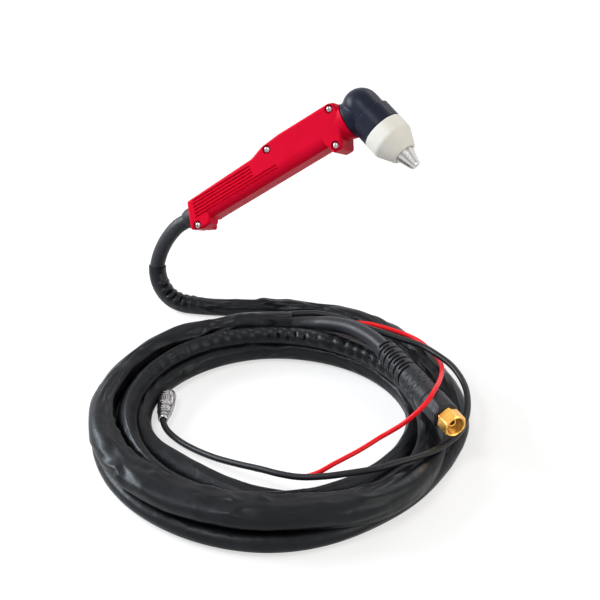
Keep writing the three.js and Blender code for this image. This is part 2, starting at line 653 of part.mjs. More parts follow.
const hoseClear = HOSE_RADIUS + GAP;
piece(torch, "rear_bush", inHandle(turned([
  [hoseClear, BUSH_FROM], [BUSH_RADIUS - 1.2, BUSH_FROM], [BUSH_RADIUS, BUSH_FROM + 4],
  [BUSH_RADIUS, BUSH_TO], [hoseClear, BUSH_TO],
], 28)), "boot_rubber");

const tailBoreFrom = HOSE_TAIL_END - BARB_LENGTH - 2;
piece(torch, "hose_tail", inHandle(turned([
  [0, BUSH_FROM + GAP], [HOSE_RADIUS, BUSH_FROM + GAP], [HOSE_RADIUS, HOSE_TAIL_END],
  [HOSE_BORE, HOSE_TAIL_END], [HOSE_BORE, tailBoreFrom], [0, tailBoreFrom],
], 24)), "hose_rubber");

piece(torch, "hose_ferrule", inHandle(ring(
  hoseClear, hoseClear + FERRULE_WALL, HOSE_TAIL_END - FERRULE_LENGTH, HOSE_TAIL_END, 28,
)), "steel");

const barbRadius = HOSE_BORE - GAP;
const couplingFrom = HOSE_TAIL_END + GAP;
const couplingTo = couplingFrom + COUPLING_LENGTH;
const tubeFrom = couplingTo + 3;
piece(torch, "hose_coupling", inHandle(turned([
  [0, couplingFrom - BARB_LENGTH], [barbRadius - 0.8, couplingFrom - BARB_LENGTH],
  [barbRadius, couplingFrom - BARB_LENGTH + 3], [barbRadius, couplingFrom],
  [COUPLING_RADIUS, couplingFrom], [COUPLING_RADIUS, couplingFrom + 16],
  [COUPLING_RADIUS - 2, couplingFrom + 16], [COUPLING_RADIUS - 2, couplingTo], [0, couplingTo],
], 24)), "brass");

const nutFrom = couplingFrom + 16 + GAP;
piece(torch, "tube_nut", inHandle(cut(
  rod(COUPLING_RADIUS + 1, nutFrom, nutFrom + TUBE_NUT_LENGTH, 6),
  rod(TUBE_RADIUS + GAP, nutFrom - PAST, nutFrom + TUBE_NUT_LENGTH + PAST, 20),
  rod(COUPLING_RADIUS - 2 + GAP, nutFrom - PAST, couplingTo + GAP, 24),
)), "brass");

const tubeEnd = headAxisAt(neckHeight) - (CORE_RADIUS + GAP) / Math.cos(HEAD_ANGLE) - TUBE_RADIUS * Math.tan(HEAD_ANGLE);
piece(torch, "gas_tube", tube([
  [tubeFrom, HOSE_AXIS, 0], [tubeFrom + 6, HOSE_AXIS, 0], [tubeFrom + 14, -12.5, 0], [tubeFrom + 24, -13.3, 0],
  [tubeFrom + 34, -13.3, 0],
  [HANDLE_LENGTH - 32, -12, 0], [HANDLE_LENGTH - 24, -8.2, 0], [HANDLE_LENGTH - 17, neckHeight, 0],
  [HANDLE_LENGTH - 8, neckHeight, 0], [tubeEnd, neckHeight, 0],
], TUBE_RADIUS, 10, 28), "copper");

// ---------------------------------------------------------------- hose from the torch
piece(model, "hose_torch_stretch", tube(HOSE_ROUTE, HOSE_RADIUS, 12, 24), "hose_rubber");

// ---------------------------------------------------------------- jacketed coil
const lowerLevel = FLOOR + FLOOR_GAP + JACKET_HEIGHT / 2;

// The middle of the jacket, a number of loops after the back of the lower layer, clockwise from above.
function coilPoint(loops) {
  const climb = THREE.MathUtils.clamp((loops - LOOPS_IN + 0.25) / 0.5, 0, 1);
  const radius = COIL_INNER + COIL_PITCH * Math.abs(LOOPS_IN - loops);
  const angle = 2 * Math.PI * loops;
  const x = THREE.MathUtils.lerp(LOWER_CENTRE[0], UPPER_CENTRE[0], climb);
  const y = THREE.MathUtils.lerp(LOWER_CENTRE[1], UPPER_CENTRE[1], climb);
  return new THREE.Vector3(
    x + COIL_OVAL[0] * radius * Math.sin(angle),
    y + COIL_OVAL[1] * radius * Math.cos(angle),
    lowerLevel + LAYER_PITCH * climb,
  );
}

function coilRoute() {
  const lead = LEAD_ROUTE.map(([x, y]) => new THREE.Vector3(x, y, lowerLevel));
  const first = coilPoint(LOOPS_FROM);
  const curve = new THREE.CatmullRomCurve3([...lead, first, coilPoint(LOOPS_FROM + 0.08)]);
  const leadShare = (lead.length / (lead.length + 1));
  const route = [];
  const leadSteps = 16;
  for (let i = 0; i < leadSteps; i += 1) {
    route.push(curve.getPoint((leadShare * i) / leadSteps));
  }
  const steps = Math.round((LOOPS_TO - LOOPS_FROM) * STEPS_PER_LOOP);
  for (let i = 0; i <= steps; i += 1) {
    route.push(coilPoint(LOOPS_FROM + ((LOOPS_TO - LOOPS_FROM) * i) / steps));
  }
  return route;
}

// Six corners round the middle: flat above and below, an edge to each side.
function jacketCorners() {
  return [0, 1, 2, 3, 4, 5].map((i) => {
    const angle = (i * Math.PI) / 3;
    return [(JACKET_WIDTH / 2) * Math.cos(angle), (JACKET_HEIGHT / Math.sqrt(3)) * Math.sin(angle)];
  });
}

function jacketFrames(route) {
  return route.map((middle, i) => {
    const before = route[Math.max(i - 1, 0)];
    const after = route[Math.min(i + 1, route.length - 1)];
    const run = after.clone().sub(before).normalize();
    const side = run.clone().cross(W).normalize();
    return { middle, side, up: side.clone().cross(run) };
  });
}

const coilFrames = jacketFrames(coilRoute());

function jacketShape() {
  const corners = jacketCorners();
  const positions = [];
  for (const { middle, side, up } of coilFrames) {
    for (const [across, high] of corners) {
      const point = middle.clone().addScaledVector(side, across).addScaledVector(up, high);
      positions.push(point.x, point.y, point.z);
    }
  }
  const index = [];
  const count = corners.length;
  const last = (coilFrames.length - 1) * count;
  for (let i = 0; i < coilFrames.length - 1; i += 1) {
    for (let j = 0; j < count; j += 1) {
      const a = i * count + j;
      const b = i * count + ((j + 1) % count);
      index.push(a, b, a + count, b, b + count, a + count);
    }
  }
  for (let j = 1; j < count - 1; j += 1) {
    index.push(0, j + 1, j);
    index.push(last, last + j, last + j + 1);
  }
  const geometry = new THREE.BufferGeometry();
  geometry.setAttribute("position", new THREE.Float32BufferAttribute(positions, 3));
  geometry.setIndex(index);
  return geometry;
}

// The least gap of the jacket to itself, on points spread round its outline at each frame.
function jacketSelfGap() {
  const corners = jacketCorners();
  const between = 3;
  const rings = coilFrames.map(({ middle, side, up }) => {
    const points = [];
    for (let j = 0; j < corners.length; j += 1) {
      const next = corners[(j + 1) % corners.length];
      for (let k = 0; k < between; k += 1) {
        const across = THREE.MathUtils.lerp(corners[j][0], next[0], k / between);
        const high = THREE.MathUtils.lerp(corners[j][1], next[1], k / between);
        points.push(middle.clone().addScaledVector(side, across).addScaledVector(up, high));
      }
    }
    return points;
  });
  let least = Infinity;
  for (let i = 0; i < rings.length; i += 1) {
    for (let j = i + STEPS_PER_LOOP / 2; j < rings.length; j += 1) {
      if (coilFrames[i].middle.distanceTo(coilFrames[j].middle) > 3 * JACKET_WIDTH) {
        continue;
      }
      for (const a of rings[i]) {
        for (const b of rings[j]) {
          least = Math.min(least, a.distanceTo(b));
        }
      }
    }
  }
  return least;
}

piece(model, "jacket_coil", jacketShape(), "jacket_leather");
console.log(`least gap of the jacket to itself: ${jacketSelfGap().toFixed(2)} mm`);

// One snap stud on the near upper flank of the lead-in.
const SNAP_FRAME = 11;
const SNAP_RADIUS = 4;
const SNAP_HEIGHT = 1.8;
const snapFrame = coilFrames[SNAP_FRAME];
const [flankA, flankB] = jacketCorners();
const flankMiddle = [(flankA[0] + flankB[0]) / 2, (flankA[1] + flankB[1]) / 2];
const flankOut = new THREE.Vector2(flankB[1] - flankA[1], flankA[0] - flankB[0]).normalize();
const snapOut = new THREE.Vector3()
  .addScaledVector(snapFrame.side, flankOut.x)
  .addScaledVector(snapFrame.up, flankOut.y);
const snapFoot = snapFrame.middle.clone()
  .addScaledVector(snapFrame.side, flankMiddle[0])
  .addScaledVector(snapFrame.up, flankMiddle[1])
  .addScaledVector(snapOut, GAP);
piece(model, "jacket_snap", along(turned([
  [0, 0], [SNAP_RADIUS, 0], [SNAP_RADIUS, SNAP_HEIGHT * 0.5], [SNAP_RADIUS * 0.6, SNAP_HEIGHT],
  [0, SNAP_HEIGHT],
], 16), snapFoot.toArray(), snapOut), "steel");

// ---------------------------------------------------------------- hose end and connector
piece(model, "hose_connector_stretch", tube(TAIL_ROUTE, HOSE_RADIUS, 12, 24), "hose_rubber");

const connectorAxis = new THREE.Vector3(Math.cos(CONNECTOR_TURN), Math.sin(CONNECTOR_TURN), 0);

function onConnector(geometry) {
  return along(geometry, CONNECTOR_FROM, connectorAxis);
}

function bootShape() {
  const profile = [[hoseClear, 0], [BOOT_NECK, 0]];
  for (let i = 0; i < RIB_COUNT; i += 1) {
    const place = 3 + i * RIB_PITCH;
    const radius = THREE.MathUtils.lerp(BOOT_NECK + 0.4, BOOT_RADIUS, i / (RIB_COUNT - 1));
    profile.push([radius, place], [radius, place + RIB_PITCH * 0.6]);
    profile.push([radius - RIB_DEPTH, place + RIB_PITCH * 0.65], [radius - RIB_DEPTH, place + RIB_PITCH * 0.95]);
  }
  const plain = 3 + RIB_COUNT * RIB_PITCH;
  profile.push([BOOT_RADIUS, plain], [BOOT_RADIUS, BOOT_LENGTH], [hoseClear, BOOT_LENGTH]);
  return turned(profile, 16);
}

piece(model, "connector_boot", onConnector(bootShape()), "boot_rubber");

const bodyFrom = BOOT_LENGTH + GAP;
const bodyTo = bodyFrom + BODY_LENGTH;
const nippleClear = NIPPLE_RADIUS + GAP;
piece(model, "connector_body", onConnector(cut(turned([
  [0, bodyFrom], [BODY_RADIUS - 1, bodyFrom], [BODY_RADIUS, bodyFrom + 1.5],
  [BODY_RADIUS, bodyTo - 2], [BODY_RADIUS - 1.6, bodyTo], [0, bodyTo],
], 8), rod(nippleClear, bodyFrom - PAST, bodyTo + PAST, 24))), "boot_rubber");

const nutBack = bodyTo + GAP;
const nutFront = nutBack + NUT_LENGTH;
const nutCorner = NUT_ACROSS_FLATS / 2 / Math.cos(Math.PI / 6);
const nutChamfer = 1.4;
const nutBlank = onConnector(rod(nutCorner, nutBack, nutFront, 6));
const nutEnvelope = onConnector(turned([
  [0, nutBack - PAST], [nutCorner + 1, nutBack - PAST], [nutCorner + 1, nutFront - nutChamfer],
  [nutCorner - nutChamfer * 1.2, nutFront], [nutCorner - nutChamfer * 1.2, nutFront + PAST],
  [0, nutFront + PAST],
], 36));
piece(model, "union_nut", cut(
  common(nutBlank, nutEnvelope),
  onConnector(rod(nippleClear, nutBack - PAST, nutFront, 24)),
  onConnector(rod(NUT_BORE, nutBack + NUT_LIP, nutFront + PAST, 30)),
), "brass");

const flangeFrom = nutBack + NUT_LIP + GAP;
const noseEnd = flangeFrom + 6.6;
piece(model, "connector_nipple", onConnector(turned([
  [NIPPLE_HOLE, BOOT_LENGTH - 8], [NIPPLE_RADIUS, BOOT_LENGTH - 8], [NIPPLE_RADIUS, flangeFrom],
  [NIPPLE_FLANGE, flangeFrom], [NIPPLE_FLANGE, flangeFrom + 1.8], [NIPPLE_NOSE + 0.6, flangeFrom + 1.8],
  [NIPPLE_NOSE, noseEnd - 1], [NIPPLE_NOSE - 0.6, noseEnd], [NIPPLE_HOLE, noseEnd],
], 24)), "brass");

// ---------------------------------------------------------------- control cable and plug
piece(model, "control_cable", tube(CABLE_ROUTE, CABLE_RADIUS, 8, 66), "cable_black");

const plugAxis = new THREE.Vector3(Math.cos(PLUG_TURN), Math.sin(PLUG_TURN), 0);

function onPlug(geometry, aside = [0, 0]) {
  const side = plugAxis.clone().cross(W);
  const from = new THREE.Vector3(...PLUG_FROM).addScaledVector(side, aside[0]).addScaledVector(W, aside[1]);
  return along(geometry, from.toArray(), plugAxis);
}

const cableClear = CABLE_RADIUS + GAP;
piece(model, "plug_clamp", onPlug(turned([
  [cableClear, 0], [4.4, 0], [5, 1], [5, 5], [6, PLUG_CLAMP_LENGTH], [cableClear, PLUG_CLAMP_LENGTH],
], 20)), "steel");

const shellFrom = PLUG_CLAMP_LENGTH + GAP;
const barrelFrom = shellFrom + 5;
const barrelTo = barrelFrom + 12;
const insertClear = PLUG_INSERT_RADIUS + GAP;
piece(model, "plug_shell", onPlug(turned([
  [0, shellFrom], [PLUG_SHELL_RADIUS, shellFrom], [PLUG_SHELL_RADIUS, barrelFrom],
  [PLUG_BARREL_RADIUS, barrelFrom], [PLUG_BARREL_RADIUS, barrelTo], [insertClear, barrelTo],
  [insertClear, barrelFrom - 2], [0, barrelFrom - 2],
], 24)), "steel");

const ringFrom = barrelFrom + GAP;
piece(model, "plug_ring", onPlug(turned([
  [PLUG_BARREL_RADIUS + GAP, ringFrom], [PLUG_RING_RADIUS - 0.6, ringFrom], [PLUG_RING_RADIUS, ringFrom + 1],
  [PLUG_RING_RADIUS, PLUG_LENGTH - 1], [PLUG_RING_RADIUS - 0.5, PLUG_LENGTH],
  [PLUG_RING_RADIUS - 1.2, PLUG_LENGTH], [PLUG_RING_RADIUS - 1.2, PLUG_LENGTH - PLUG_RING_LENGTH + 4],
  [PLUG_BARREL_RADIUS + GAP, PLUG_LENGTH - PLUG_RING_LENGTH + 4],
], 28)), "steel");

const pinHoles = [-PIN_SPREAD, PIN_SPREAD];
const insertBlock = onPlug(rod(PLUG_INSERT_RADIUS, barrelFrom - 2 + GAP, barrelTo - GAP, 20));
const insertEnd = barrelTo - GAP;
const pinFrom = insertEnd - 7;
piece(model, "plug_insert", cut(
  insertBlock,
  ...pinHoles.map((x) => onPlug(rod(PIN_RADIUS + 0.25, pinFrom - 0.25, insertEnd + PAST, 10), [x, 0])),
), "grey_plastic");
for (const [i, x] of pinHoles.entries()) {
  piece(model, `plug_pin_${i + 1}`, onPlug(rod(PIN_RADIUS, pinFrom, insertEnd + PIN_REACH, 10), [x, 0]), "brass");
}

// ---------------------------------------------------------------- pilot wire
piece(model, "pilot_wire", tube(WIRE_ROUTE, WIRE_RADIUS, 8, 60), "wire_red");
const wireEnd = new THREE.Vector3(...WIRE_ROUTE.at(-1));
const terminalAxis = new THREE.Vector3(...TERMINAL_END).sub(wireEnd).normalize();
const terminalFrom = wireEnd.clone().addScaledVector(terminalAxis, GAP);
piece(model, "pilot_terminal", along(turned([
  [0, 0], [TERMINAL_RADIUS, 0], [TERMINAL_RADIUS, 7], [1.9, 7.4], [1.9, TERMINAL_LENGTH - 1],
  [1.2, TERMINAL_LENGTH], [0, TERMINAL_LENGTH],
], 12), terminalFrom.toArray(), terminalAxis), "steel");

export default model;
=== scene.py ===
"""Hand torch with its jacketed lead: the looks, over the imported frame. Lengths are in millimetres."""

import math

import bmesh
import bpy
import numpy as np
from mathutils import Matrix, Vector, noise


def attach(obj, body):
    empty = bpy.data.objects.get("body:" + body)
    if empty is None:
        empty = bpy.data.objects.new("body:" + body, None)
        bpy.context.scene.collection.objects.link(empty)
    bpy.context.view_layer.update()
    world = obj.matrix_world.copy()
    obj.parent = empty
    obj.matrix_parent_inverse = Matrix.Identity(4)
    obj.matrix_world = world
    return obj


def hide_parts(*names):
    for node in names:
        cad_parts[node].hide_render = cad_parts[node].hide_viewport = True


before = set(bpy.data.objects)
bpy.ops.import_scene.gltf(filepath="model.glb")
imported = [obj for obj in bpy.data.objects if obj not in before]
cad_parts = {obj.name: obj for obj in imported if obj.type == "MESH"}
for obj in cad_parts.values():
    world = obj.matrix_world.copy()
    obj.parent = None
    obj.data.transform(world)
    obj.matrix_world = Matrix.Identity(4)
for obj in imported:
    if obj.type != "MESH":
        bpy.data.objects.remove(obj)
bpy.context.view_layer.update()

MM = 0.001
GAP = 0.3  # clearance between fitted pieces
PAST = 2.0  # how far a cut runs past a face
FLOOR = -134.0

# ------------------------------------------------------------------ places
U = Vector((0.8087, -0.04663, 0.58637)).normalized()
V = Vector((-0.40997, 0.67017, 0.61871))
V = (V - U * V.dot(U)).normalized()
W = U.cross(V)


def basis(x, y, z, origin):
    """Matrix from a local frame in mm to the shared frame in metres."""
    turn = Matrix((x, y, z)).transposed().to_4x4()
    turn.translation = Vector(origin) * MM
    return turn @ Matrix.Scale(MM, 4)


def along_axis(origin, axis, up=(0, 0, 1)):
    """Local z runs along axis, local y leans to up."""
    z = Vector(axis).normalized()
    x = Vector(up).cross(z).normalized()
    return basis(x, z.cross(x), z, origin)


TORCH = basis(U, V, W, U * -62 + V * 13)
PLAIN = Matrix.Scale(MM, 4)
HEAD_TURN = math.radians(16.6)
HEAD_FOOT = (195.4, -33.4, 0.0)
HEAD_RUN = (math.sin(HEAD_TURN), -math.cos(HEAD_TURN), 0.0)


def within(outer, origin, axis, up):
    """A local frame given in the torch's own millimetres."""
    z = Vector(axis).normalized()
    x = Vector(up).cross(z).normalized()
    local = Matrix((x, z.cross(x), z)).transposed().to_4x4()
    local.translation = Vector(origin)
    return outer @ local


def lengthways(v):
    """Local z runs along the handle, at a height v over its middle line."""
    return within(TORCH, (0, v, 0), (1, 0, 0), (0, 0, 1))


HEAD = within(TORCH, HEAD_FOOT, HEAD_RUN, (0, 0, 1))
CONNECTOR_TURN, PLUG_TURN = math.radians(-63.2), math.radians(86.6)
CONNECTOR = along_axis((118, -134.5, -90), (math.cos(CONNECTOR_TURN), math.sin(CONNECTOR_TURN), 0))
PLUG = along_axis((-74.8, -187.5, -126.3), (math.cos(PLUG_TURN), math.sin(PLUG_TURN), 0))

# ------------------------------------------------------------------ routes, as the CAD has them
HOSE_ROUTE = [
    (-62.3, 4.5, -44), (-70.5, 5, -50), (-78.6, 5.4, -60), (-86, 5.2, -73), (-91, 3.2, -86.5),
    (-92.8, 0.4, -98.5), (-89.4, -4.6, -112), (-79.8, -10.8, -122.2), (-68.5, -14.35, -126.2),
    (-56, -16.35, -126.2),
]
LEAD_ROUTE = [
    (-55.6, -16.4), (-40, -18.9), (-22, -19.8), (-4, -20), (30, -20.5), (62, -25), (92, -36),
    (118, -54), (140, -79), (158, -112),
]
TAIL_ROUTE = [
    (34, -71.37, -108.5), (46, -70.92, -108.5), (58, -74, -106), (70, -81, -101.2), (85, -91.5, -96.2),
    (98, -105, -92.6), (109, -119.3, -90.6), (118, -134.5, -90), (125.3, -148.9, -90), (133.4, -165, -90),
]
CABLE_ROUTE = [
    (33, -63.4, -102.9), (46, -62.9, -102.2), (62, -64.7, -101.4), (84.6, -74.5, -100.8),
    (98.9, -83.6, -101), (116.7, -94.2, -101), (133.2, -105.3, -100), (152.1, -117.4, -99),
    (164.5, -131.5, -98), (176.8, -148.3, -98.5), (185.4, -171, -101), (186.4, -193, -104),
    (182.4, -213, -106.4), (173.5, -231.5, -107), (160, -246.5, -106.2), (143, -261.5, -102.4),
    (126, -272, -99.8), (107.7, -280.4, -99.5), (83.5, -285.3, -100.5), (63.5, -286.4, -103),
    (43.5, -283.9, -106), (27.3, -276.9, -109), (10.9, -266.2, -113), (-7.6, -254.4, -118),
    (-29.1, -239.3, -123.5), (-49.5, -222, -127.5), (-62.5, -208.8, -128.8), (-71, -198.3, -127.6),
    (-74.8, -187.5, -126.3), (-74.3, -179.6, -126.3),
]
WIRE_ROUTE = [
    (33, -62.3, -116.1), (50, -61.2, -116.2), (70, -57.5, -116.4), (106.5, -61.2, -115),
    (117.4, -66.3, -114.5), (128.2, -72.3, -114), (138.8, -79.3, -113.5), (147.5, -86.7, -113),
    (154.2, -95.4, -112), (159.7, -106.4, -110.8), (164.3, -118.6, -109), (167.4, -132.4, -105.4),
    (167.4, -150.7, -98.6), (164.5, -173, -89), (160.3, -194.7, -79.6), (155.6, -211, -74.2),
    (151.2, -221.9, -73.4), (146.1, -228.5, -76), (140.4, -232.2, -80.5), (133.6, -234.2, -86.5),
    (126.7, -235.8, -92), (118.5, -238.8, -96), (110.2, -241.9, -99.5), (92.5, -255.4, -102),
    (71, -270.6, -103.6), (57.2, -278.6, -106.4), (43.5, -279, -110.6), (27.3, -272, -114.4),
    (12, -261.8, -118),
]
TERMINAL_END = (-0.2, -254.2, -122)
HOSE_RADIUS, CABLE_RADIUS, WIRE_RADIUS = 7.0, 2.75, 2.0


def smoothed(route, step):
    """Even points, about step apart, on the centripetal curve through a route."""
    pts = [np.array(p, float) for p in route]
    pts = [2 * pts[0] - pts[1]] + pts + [2 * pts[-1] - pts[-2]]
    out = []
    for p0, p1, p2, p3 in zip(pts, pts[1:], pts[2:], pts[3:]):
        t1 = np.linalg.norm(p1 - p0) ** 0.5
        t2 = t1 + np.linalg.norm(p2 - p1) ** 0.5
        t3 = t2 + np.linalg.norm(p3 - p2) ** 0.5
        for t in np.linspace(t1, t2, 16, endpoint=False):
            a1 = p0 * (t1 - t) / t1 + p1 * t / t1
            a2 = p1 * (t2 - t) / (t2 - t1) + p2 * (t - t1) / (t2 - t1)
            a3 = p2 * (t3 - t) / (t3 - t2) + p3 * (t - t2) / (t3 - t2)
            b1 = a1 * (t2 - t) / t2 + a2 * t / t2
            b2 = a2 * (t3 - t) / (t3 - t1) + a3 * (t - t1) / (t3 - t1)
            out.append(b1 * (t2 - t) / (t2 - t1) + b2 * (t - t1) / (t2 - t1))
    out.append(pts[-2])
    return evened(np.array(out), step)


def evened(points, step):
    run = np.r_[0, np.cumsum(np.linalg.norm(np.diff(points, axis=0), axis=1))]
    count = max(2, int(round(run[-1] / step)) + 1)
    at = np.linspace(0, run[-1], count)
    return np.stack([np.interp(at, run, points[:, i]) for i in range(3)], axis=1)


def length_of(points):
    return float(np.linalg.norm(np.diff(points, axis=0), axis=1).sum())


# ------------------------------------------------------------------ nodes
def add_node(tree, kind, feeds=None, **settings):
    """Adds a node, then sets or links what feeds it. A colour of three numbers is opaque."""
    made = tree.nodes.new(kind)
    for key, value in settings.items():
        setattr(made, key, value)
    for key, value in (feeds or {}).items():
        target = made.inputs[key]
        if isinstance(value, bpy.types.NodeSocket):
            tree.links.new(value, target)
        elif target.type == "RGBA":
            target.default_value = (*value[:3], 1.0)
        else:
            target.default_value = value
    return made


def range_of(tree, source, low, high, to_low, to_high):
    feeds = {"Value": source, "From Min": low, "From Max": high, "To Min": to_low, "To Max": to_high}
    return add_node(tree, "ShaderNodeMapRange", feeds).outputs["Result"]


def math_of(tree, operation, a, b=0.0):
    return add_node(tree, "ShaderNodeMath", {0: a, 1: b}, operation=operation).outputs["Value"]


# ------------------------------------------------------------------ materials
class Shade:
    """A material on object coordinates in millimetres, or on the piece's own UV map."""

    def __init__(self, name, colour, roughness, metallic=0.0, **sockets):
        self.mat = bpy.data.materials.new(name)
        self.mat.use_nodes = True
        self.tree = self.mat.node_tree
        self.skin = self.tree.nodes["Principled BSDF"]
        self.skin.inputs["Metallic"].default_value = metallic
        for key, value in sockets.items():
            self.skin.inputs[key.replace("_", " ")].default_value = value
        place = add_node(self.tree, "ShaderNodeTexCoord")
        self.mm = self.scaled(place.outputs["Object"], (1000, 1000, 1000))
        self.uv = place.outputs["UV"]
        self.colour, self.rough, self.height = colour, roughness, None

    def scaled(self, source, factors):
        feeds = {"Vector": source, "Scale": factors}
        return add_node(self.tree, "ShaderNodeMapping", feeds).outputs["Vector"]

    def noise(self, scale, detail=3.0, rough=0.55, on=None, stretch=0.0):
        feeds = {"Vector": self.mm if on is None else on, "Scale": scale, "Detail": detail,
                 "Roughness": rough, "Distortion": stretch}
        return add_node(self.tree, "ShaderNodeTexNoise", feeds).outputs["Fac"]

    def cells(self, scale):
        feeds = {"Vector": self.mm, "Scale": scale}
        return add_node(self.tree, "ShaderNodeTexVoronoi", feeds).outputs["Distance"]

    def range(self, *values):
        return range_of(self.tree, *values)

    def math(self, operation, a, b=0.0):
        return math_of(self.tree, operation, a, b)

    def tint(self, mask, colour):
        """Mixes a colour in where the mask is 1."""
        feeds = {"Factor": mask, "A": self.colour, "B": colour}
        self.colour = add_node(self.tree, "ShaderNodeMix", feeds, data_type="RGBA").outputs["Result"]
        return self

    def roughen(self, source, low, high, smooth, coarse):
        self.rough = self.range(source, low, high, smooth, coarse)
        return self

    def raise_by(self, source, millimetres):
        part = self.math("MULTIPLY", source, millimetres)
        self.height = part if self.height is None else self.math("ADD", self.height, part)
        return self

    def done(self):
        self.tree.links.new(self.colour, self.skin.inputs["Base Color"])
        self.tree.links.new(self.rough, self.skin.inputs["Roughness"])
        if self.height is not None:
            feeds = {"Strength": 1.0, "Distance": MM, "Height": self.height}
            bump = add_node(self.tree, "ShaderNodeBump", feeds)
            self.tree.links.new(bump.outputs["Normal"], self.skin.inputs["Normal"])
        return self.mat


def moulded(name, colour, shade, roughness, grain=0.02, wear=None, **sockets):
    """Moulded plastic or rubber: faint cloudiness, fine spark texture, roughness that wanders."""
    made = Shade(name, colour, roughness, **sockets)
    made.tint(made.range(made.noise(0.05, 4), 0.35, 0.7, 0, 1), shade)
    made.roughen(made.noise(0.4, 3), 0.3, 0.7, roughness * 0.88, roughness * 1.14)
    made.raise_by(made.noise(3.2, 2, 0.6), grain)
    made.raise_by(made.noise(0.12, 2), grain * 4)
    if wear:
        spots = made.noise(0.9, 4, 0.7)
        made.tint(made.range(spots, 0.68, 0.76, 0, 0.5), wear)
    return made.done()


def machined(name, colour, shade, roughness, lines=(2, 260), grain=0.02, **sockets):
    """Turned or drawn metal: fine marks round the axis, on the piece's UV map, and a little tarnish."""
    made = Shade(name, colour, roughness, metallic=1.0, **sockets)
    marks = made.noise(1.0, 4, 0.7, on=made.scaled(made.uv, (lines[0], lines[1], 1)))
    made.tint(made.range(made.noise(0.16, 4), 0.42, 0.68, 0, 1), shade)
    made.roughen(marks, 0.3, 0.7, roughness * 0.7, roughness * 1.4)
    made.raise_by(marks, grain)
    return made.done()


RED = moulded("red_moulding", (0.72, 0.004, 0.031), (0.67, 0.003, 0.026), 0.36, 0.008,
              Specular_IOR_Level=0.03)
HEAD_BLACK = moulded("head_moulding", (0.009, 0.013, 0.029), (0.008, 0.011, 0.024), 0.36, 0.02,
                    Specular_IOR_Level=0.15)
CERAMIC = moulded("cup_ceramic", (0.85, 0.825, 0.755), (0.81, 0.785, 0.71), 0.42, 0.03,
                  (0.60, 0.56, 0.48))
BUTTON = moulded("button_plastic", (0.58, 0.58, 0.57), (0.52, 0.52, 0.51), 0.40)
GREY = moulded("insulating_plastic", (0.10, 0.105, 0.11), (0.08, 0.085, 0.09), 0.5)
SWIRL = moulded("swirl_ring_stone", (0.30, 0.29, 0.27), (0.24, 0.23, 0.21), 0.55)
HOSE = moulded("hose_rubber", (0.013, 0.014, 0.018), (0.018, 0.020, 0.026), 0.44, 0.02,
               Specular_IOR_Level=0.32)
BOOT = moulded("boot_rubber", (0.011, 0.0115, 0.014), (0.015, 0.016, 0.020), 0.50, 0.03,
               Specular_IOR_Level=0.30)
CABLE = moulded("cable_sheath", (0.010, 0.010, 0.012), (0.014, 0.014, 0.017), 0.36, 0.015,
                Specular_IOR_Level=0.25)
WIRE = moulded("wire_sheath", (0.95, 0.006, 0.014), (0.90, 0.005, 0.012), 0.36, 0.012,
               Specular_IOR_Level=0.22)
COPPER = machined("copper", (0.72, 0.34, 0.20), (0.60, 0.26, 0.14), 0.32)
BRASS = machined("brass", (0.90, 0.50, 0.115), (0.80, 0.41, 0.075), 0.22, (2, 900), 0.003)
# a darker brass that paints shade inside the nut's bore
BORE_SHADE_BRASS = machined("oiled_brass", (0.42, 0.19, 0.035), (0.30, 0.12, 0.02), 0.34, (2, 900), 0.003)
STEEL = machined("steel", (0.44, 0.44, 0.45), (0.32, 0.32, 0.33), 0.24, (2, 120), 0.002)


FLUTES, FLUTE_DEPTH = 8, 0.40


def nozzle_metal():
    """Bright turned metal with painted shade in its flutes, by its own UV map."""
    made = Shade("plated_copper", (0.70, 0.69, 0.68), 0.24, metallic=1.0)
    parts = add_node(made.tree, "ShaderNodeSeparateXYZ", {"Vector": made.uv})
    wave = made.math("COSINE", made.math("MULTIPLY", parts.outputs["X"], math.pi * FLUTES))
    # painted shade: darkest where each flute is deepest
    made.tint(made.range(made.math("ABSOLUTE", wave), 0.55, 1.0, 0, 0.6), (0.15, 0.145, 0.14))
    made.tint(made.range(made.noise(0.5, 4), 0.45, 0.7, 0, 0.5), (0.34, 0.33, 0.32))
    marks = made.noise(1.0, 4, 0.7, on=made.scaled(made.uv, (10, 30, 1)))
    made.roughen(marks, 0.3, 0.7, 0.18, 0.32)
    return made.done()


def leather():
    """Black coated cloth: pebble grain, scuffed crests, a bluish sheen."""
    made = Shade("jacket_leather", (0.0040, 0.0041, 0.0051), 0.36, Specular_IOR_Level=0.23,
                 Specular_Tint=(0.88, 0.94, 1.0, 1.0))
    patches = made.noise(0.035, 4, 0.6)
    made.tint(made.range(patches, 0.45, 0.68, 0, 1), (0.0080, 0.0086, 0.0108))
    scuffs = made.noise(0.5, 5, 0.75, stretch=1.2)
    made.tint(made.range(scuffs, 0.64, 0.84, 0, 0.4), (0.020, 0.021, 0.024))
    made.roughen(made.noise(0.09, 4, 0.6), 0.3, 0.7, 0.31, 0.43)
    made.raise_by(made.cells(1.3), -0.006)
    made.raise_by(made.noise(0.06, 2, 0.4, stretch=0.6), 1.0)
    return made.done()


LEATHER = leather()
NICKEL = nozzle_metal()

# ------------------------------------------------------------------ mesh makers


def add_piece(name, verts, faces, material, where=PLAIN, uvs=None, crease=35.0):
    mesh = bpy.data.meshes.new(name)
    mesh.from_pydata([tuple(v) for v in verts], [], [tuple(f) for f in faces])
    if uvs is not None:
        layer = mesh.uv_layers.new(name="UVMap")
        layer.data.foreach_set("uv", np.asarray(uvs, np.float32).ravel())
    mesh.transform(where)
    mesh.materials.append(material)
    made = bpy.data.objects.new(name, mesh)
    bpy.context.scene.collection.objects.link(made)
    outward(made)
    shade(made, crease)
    return made


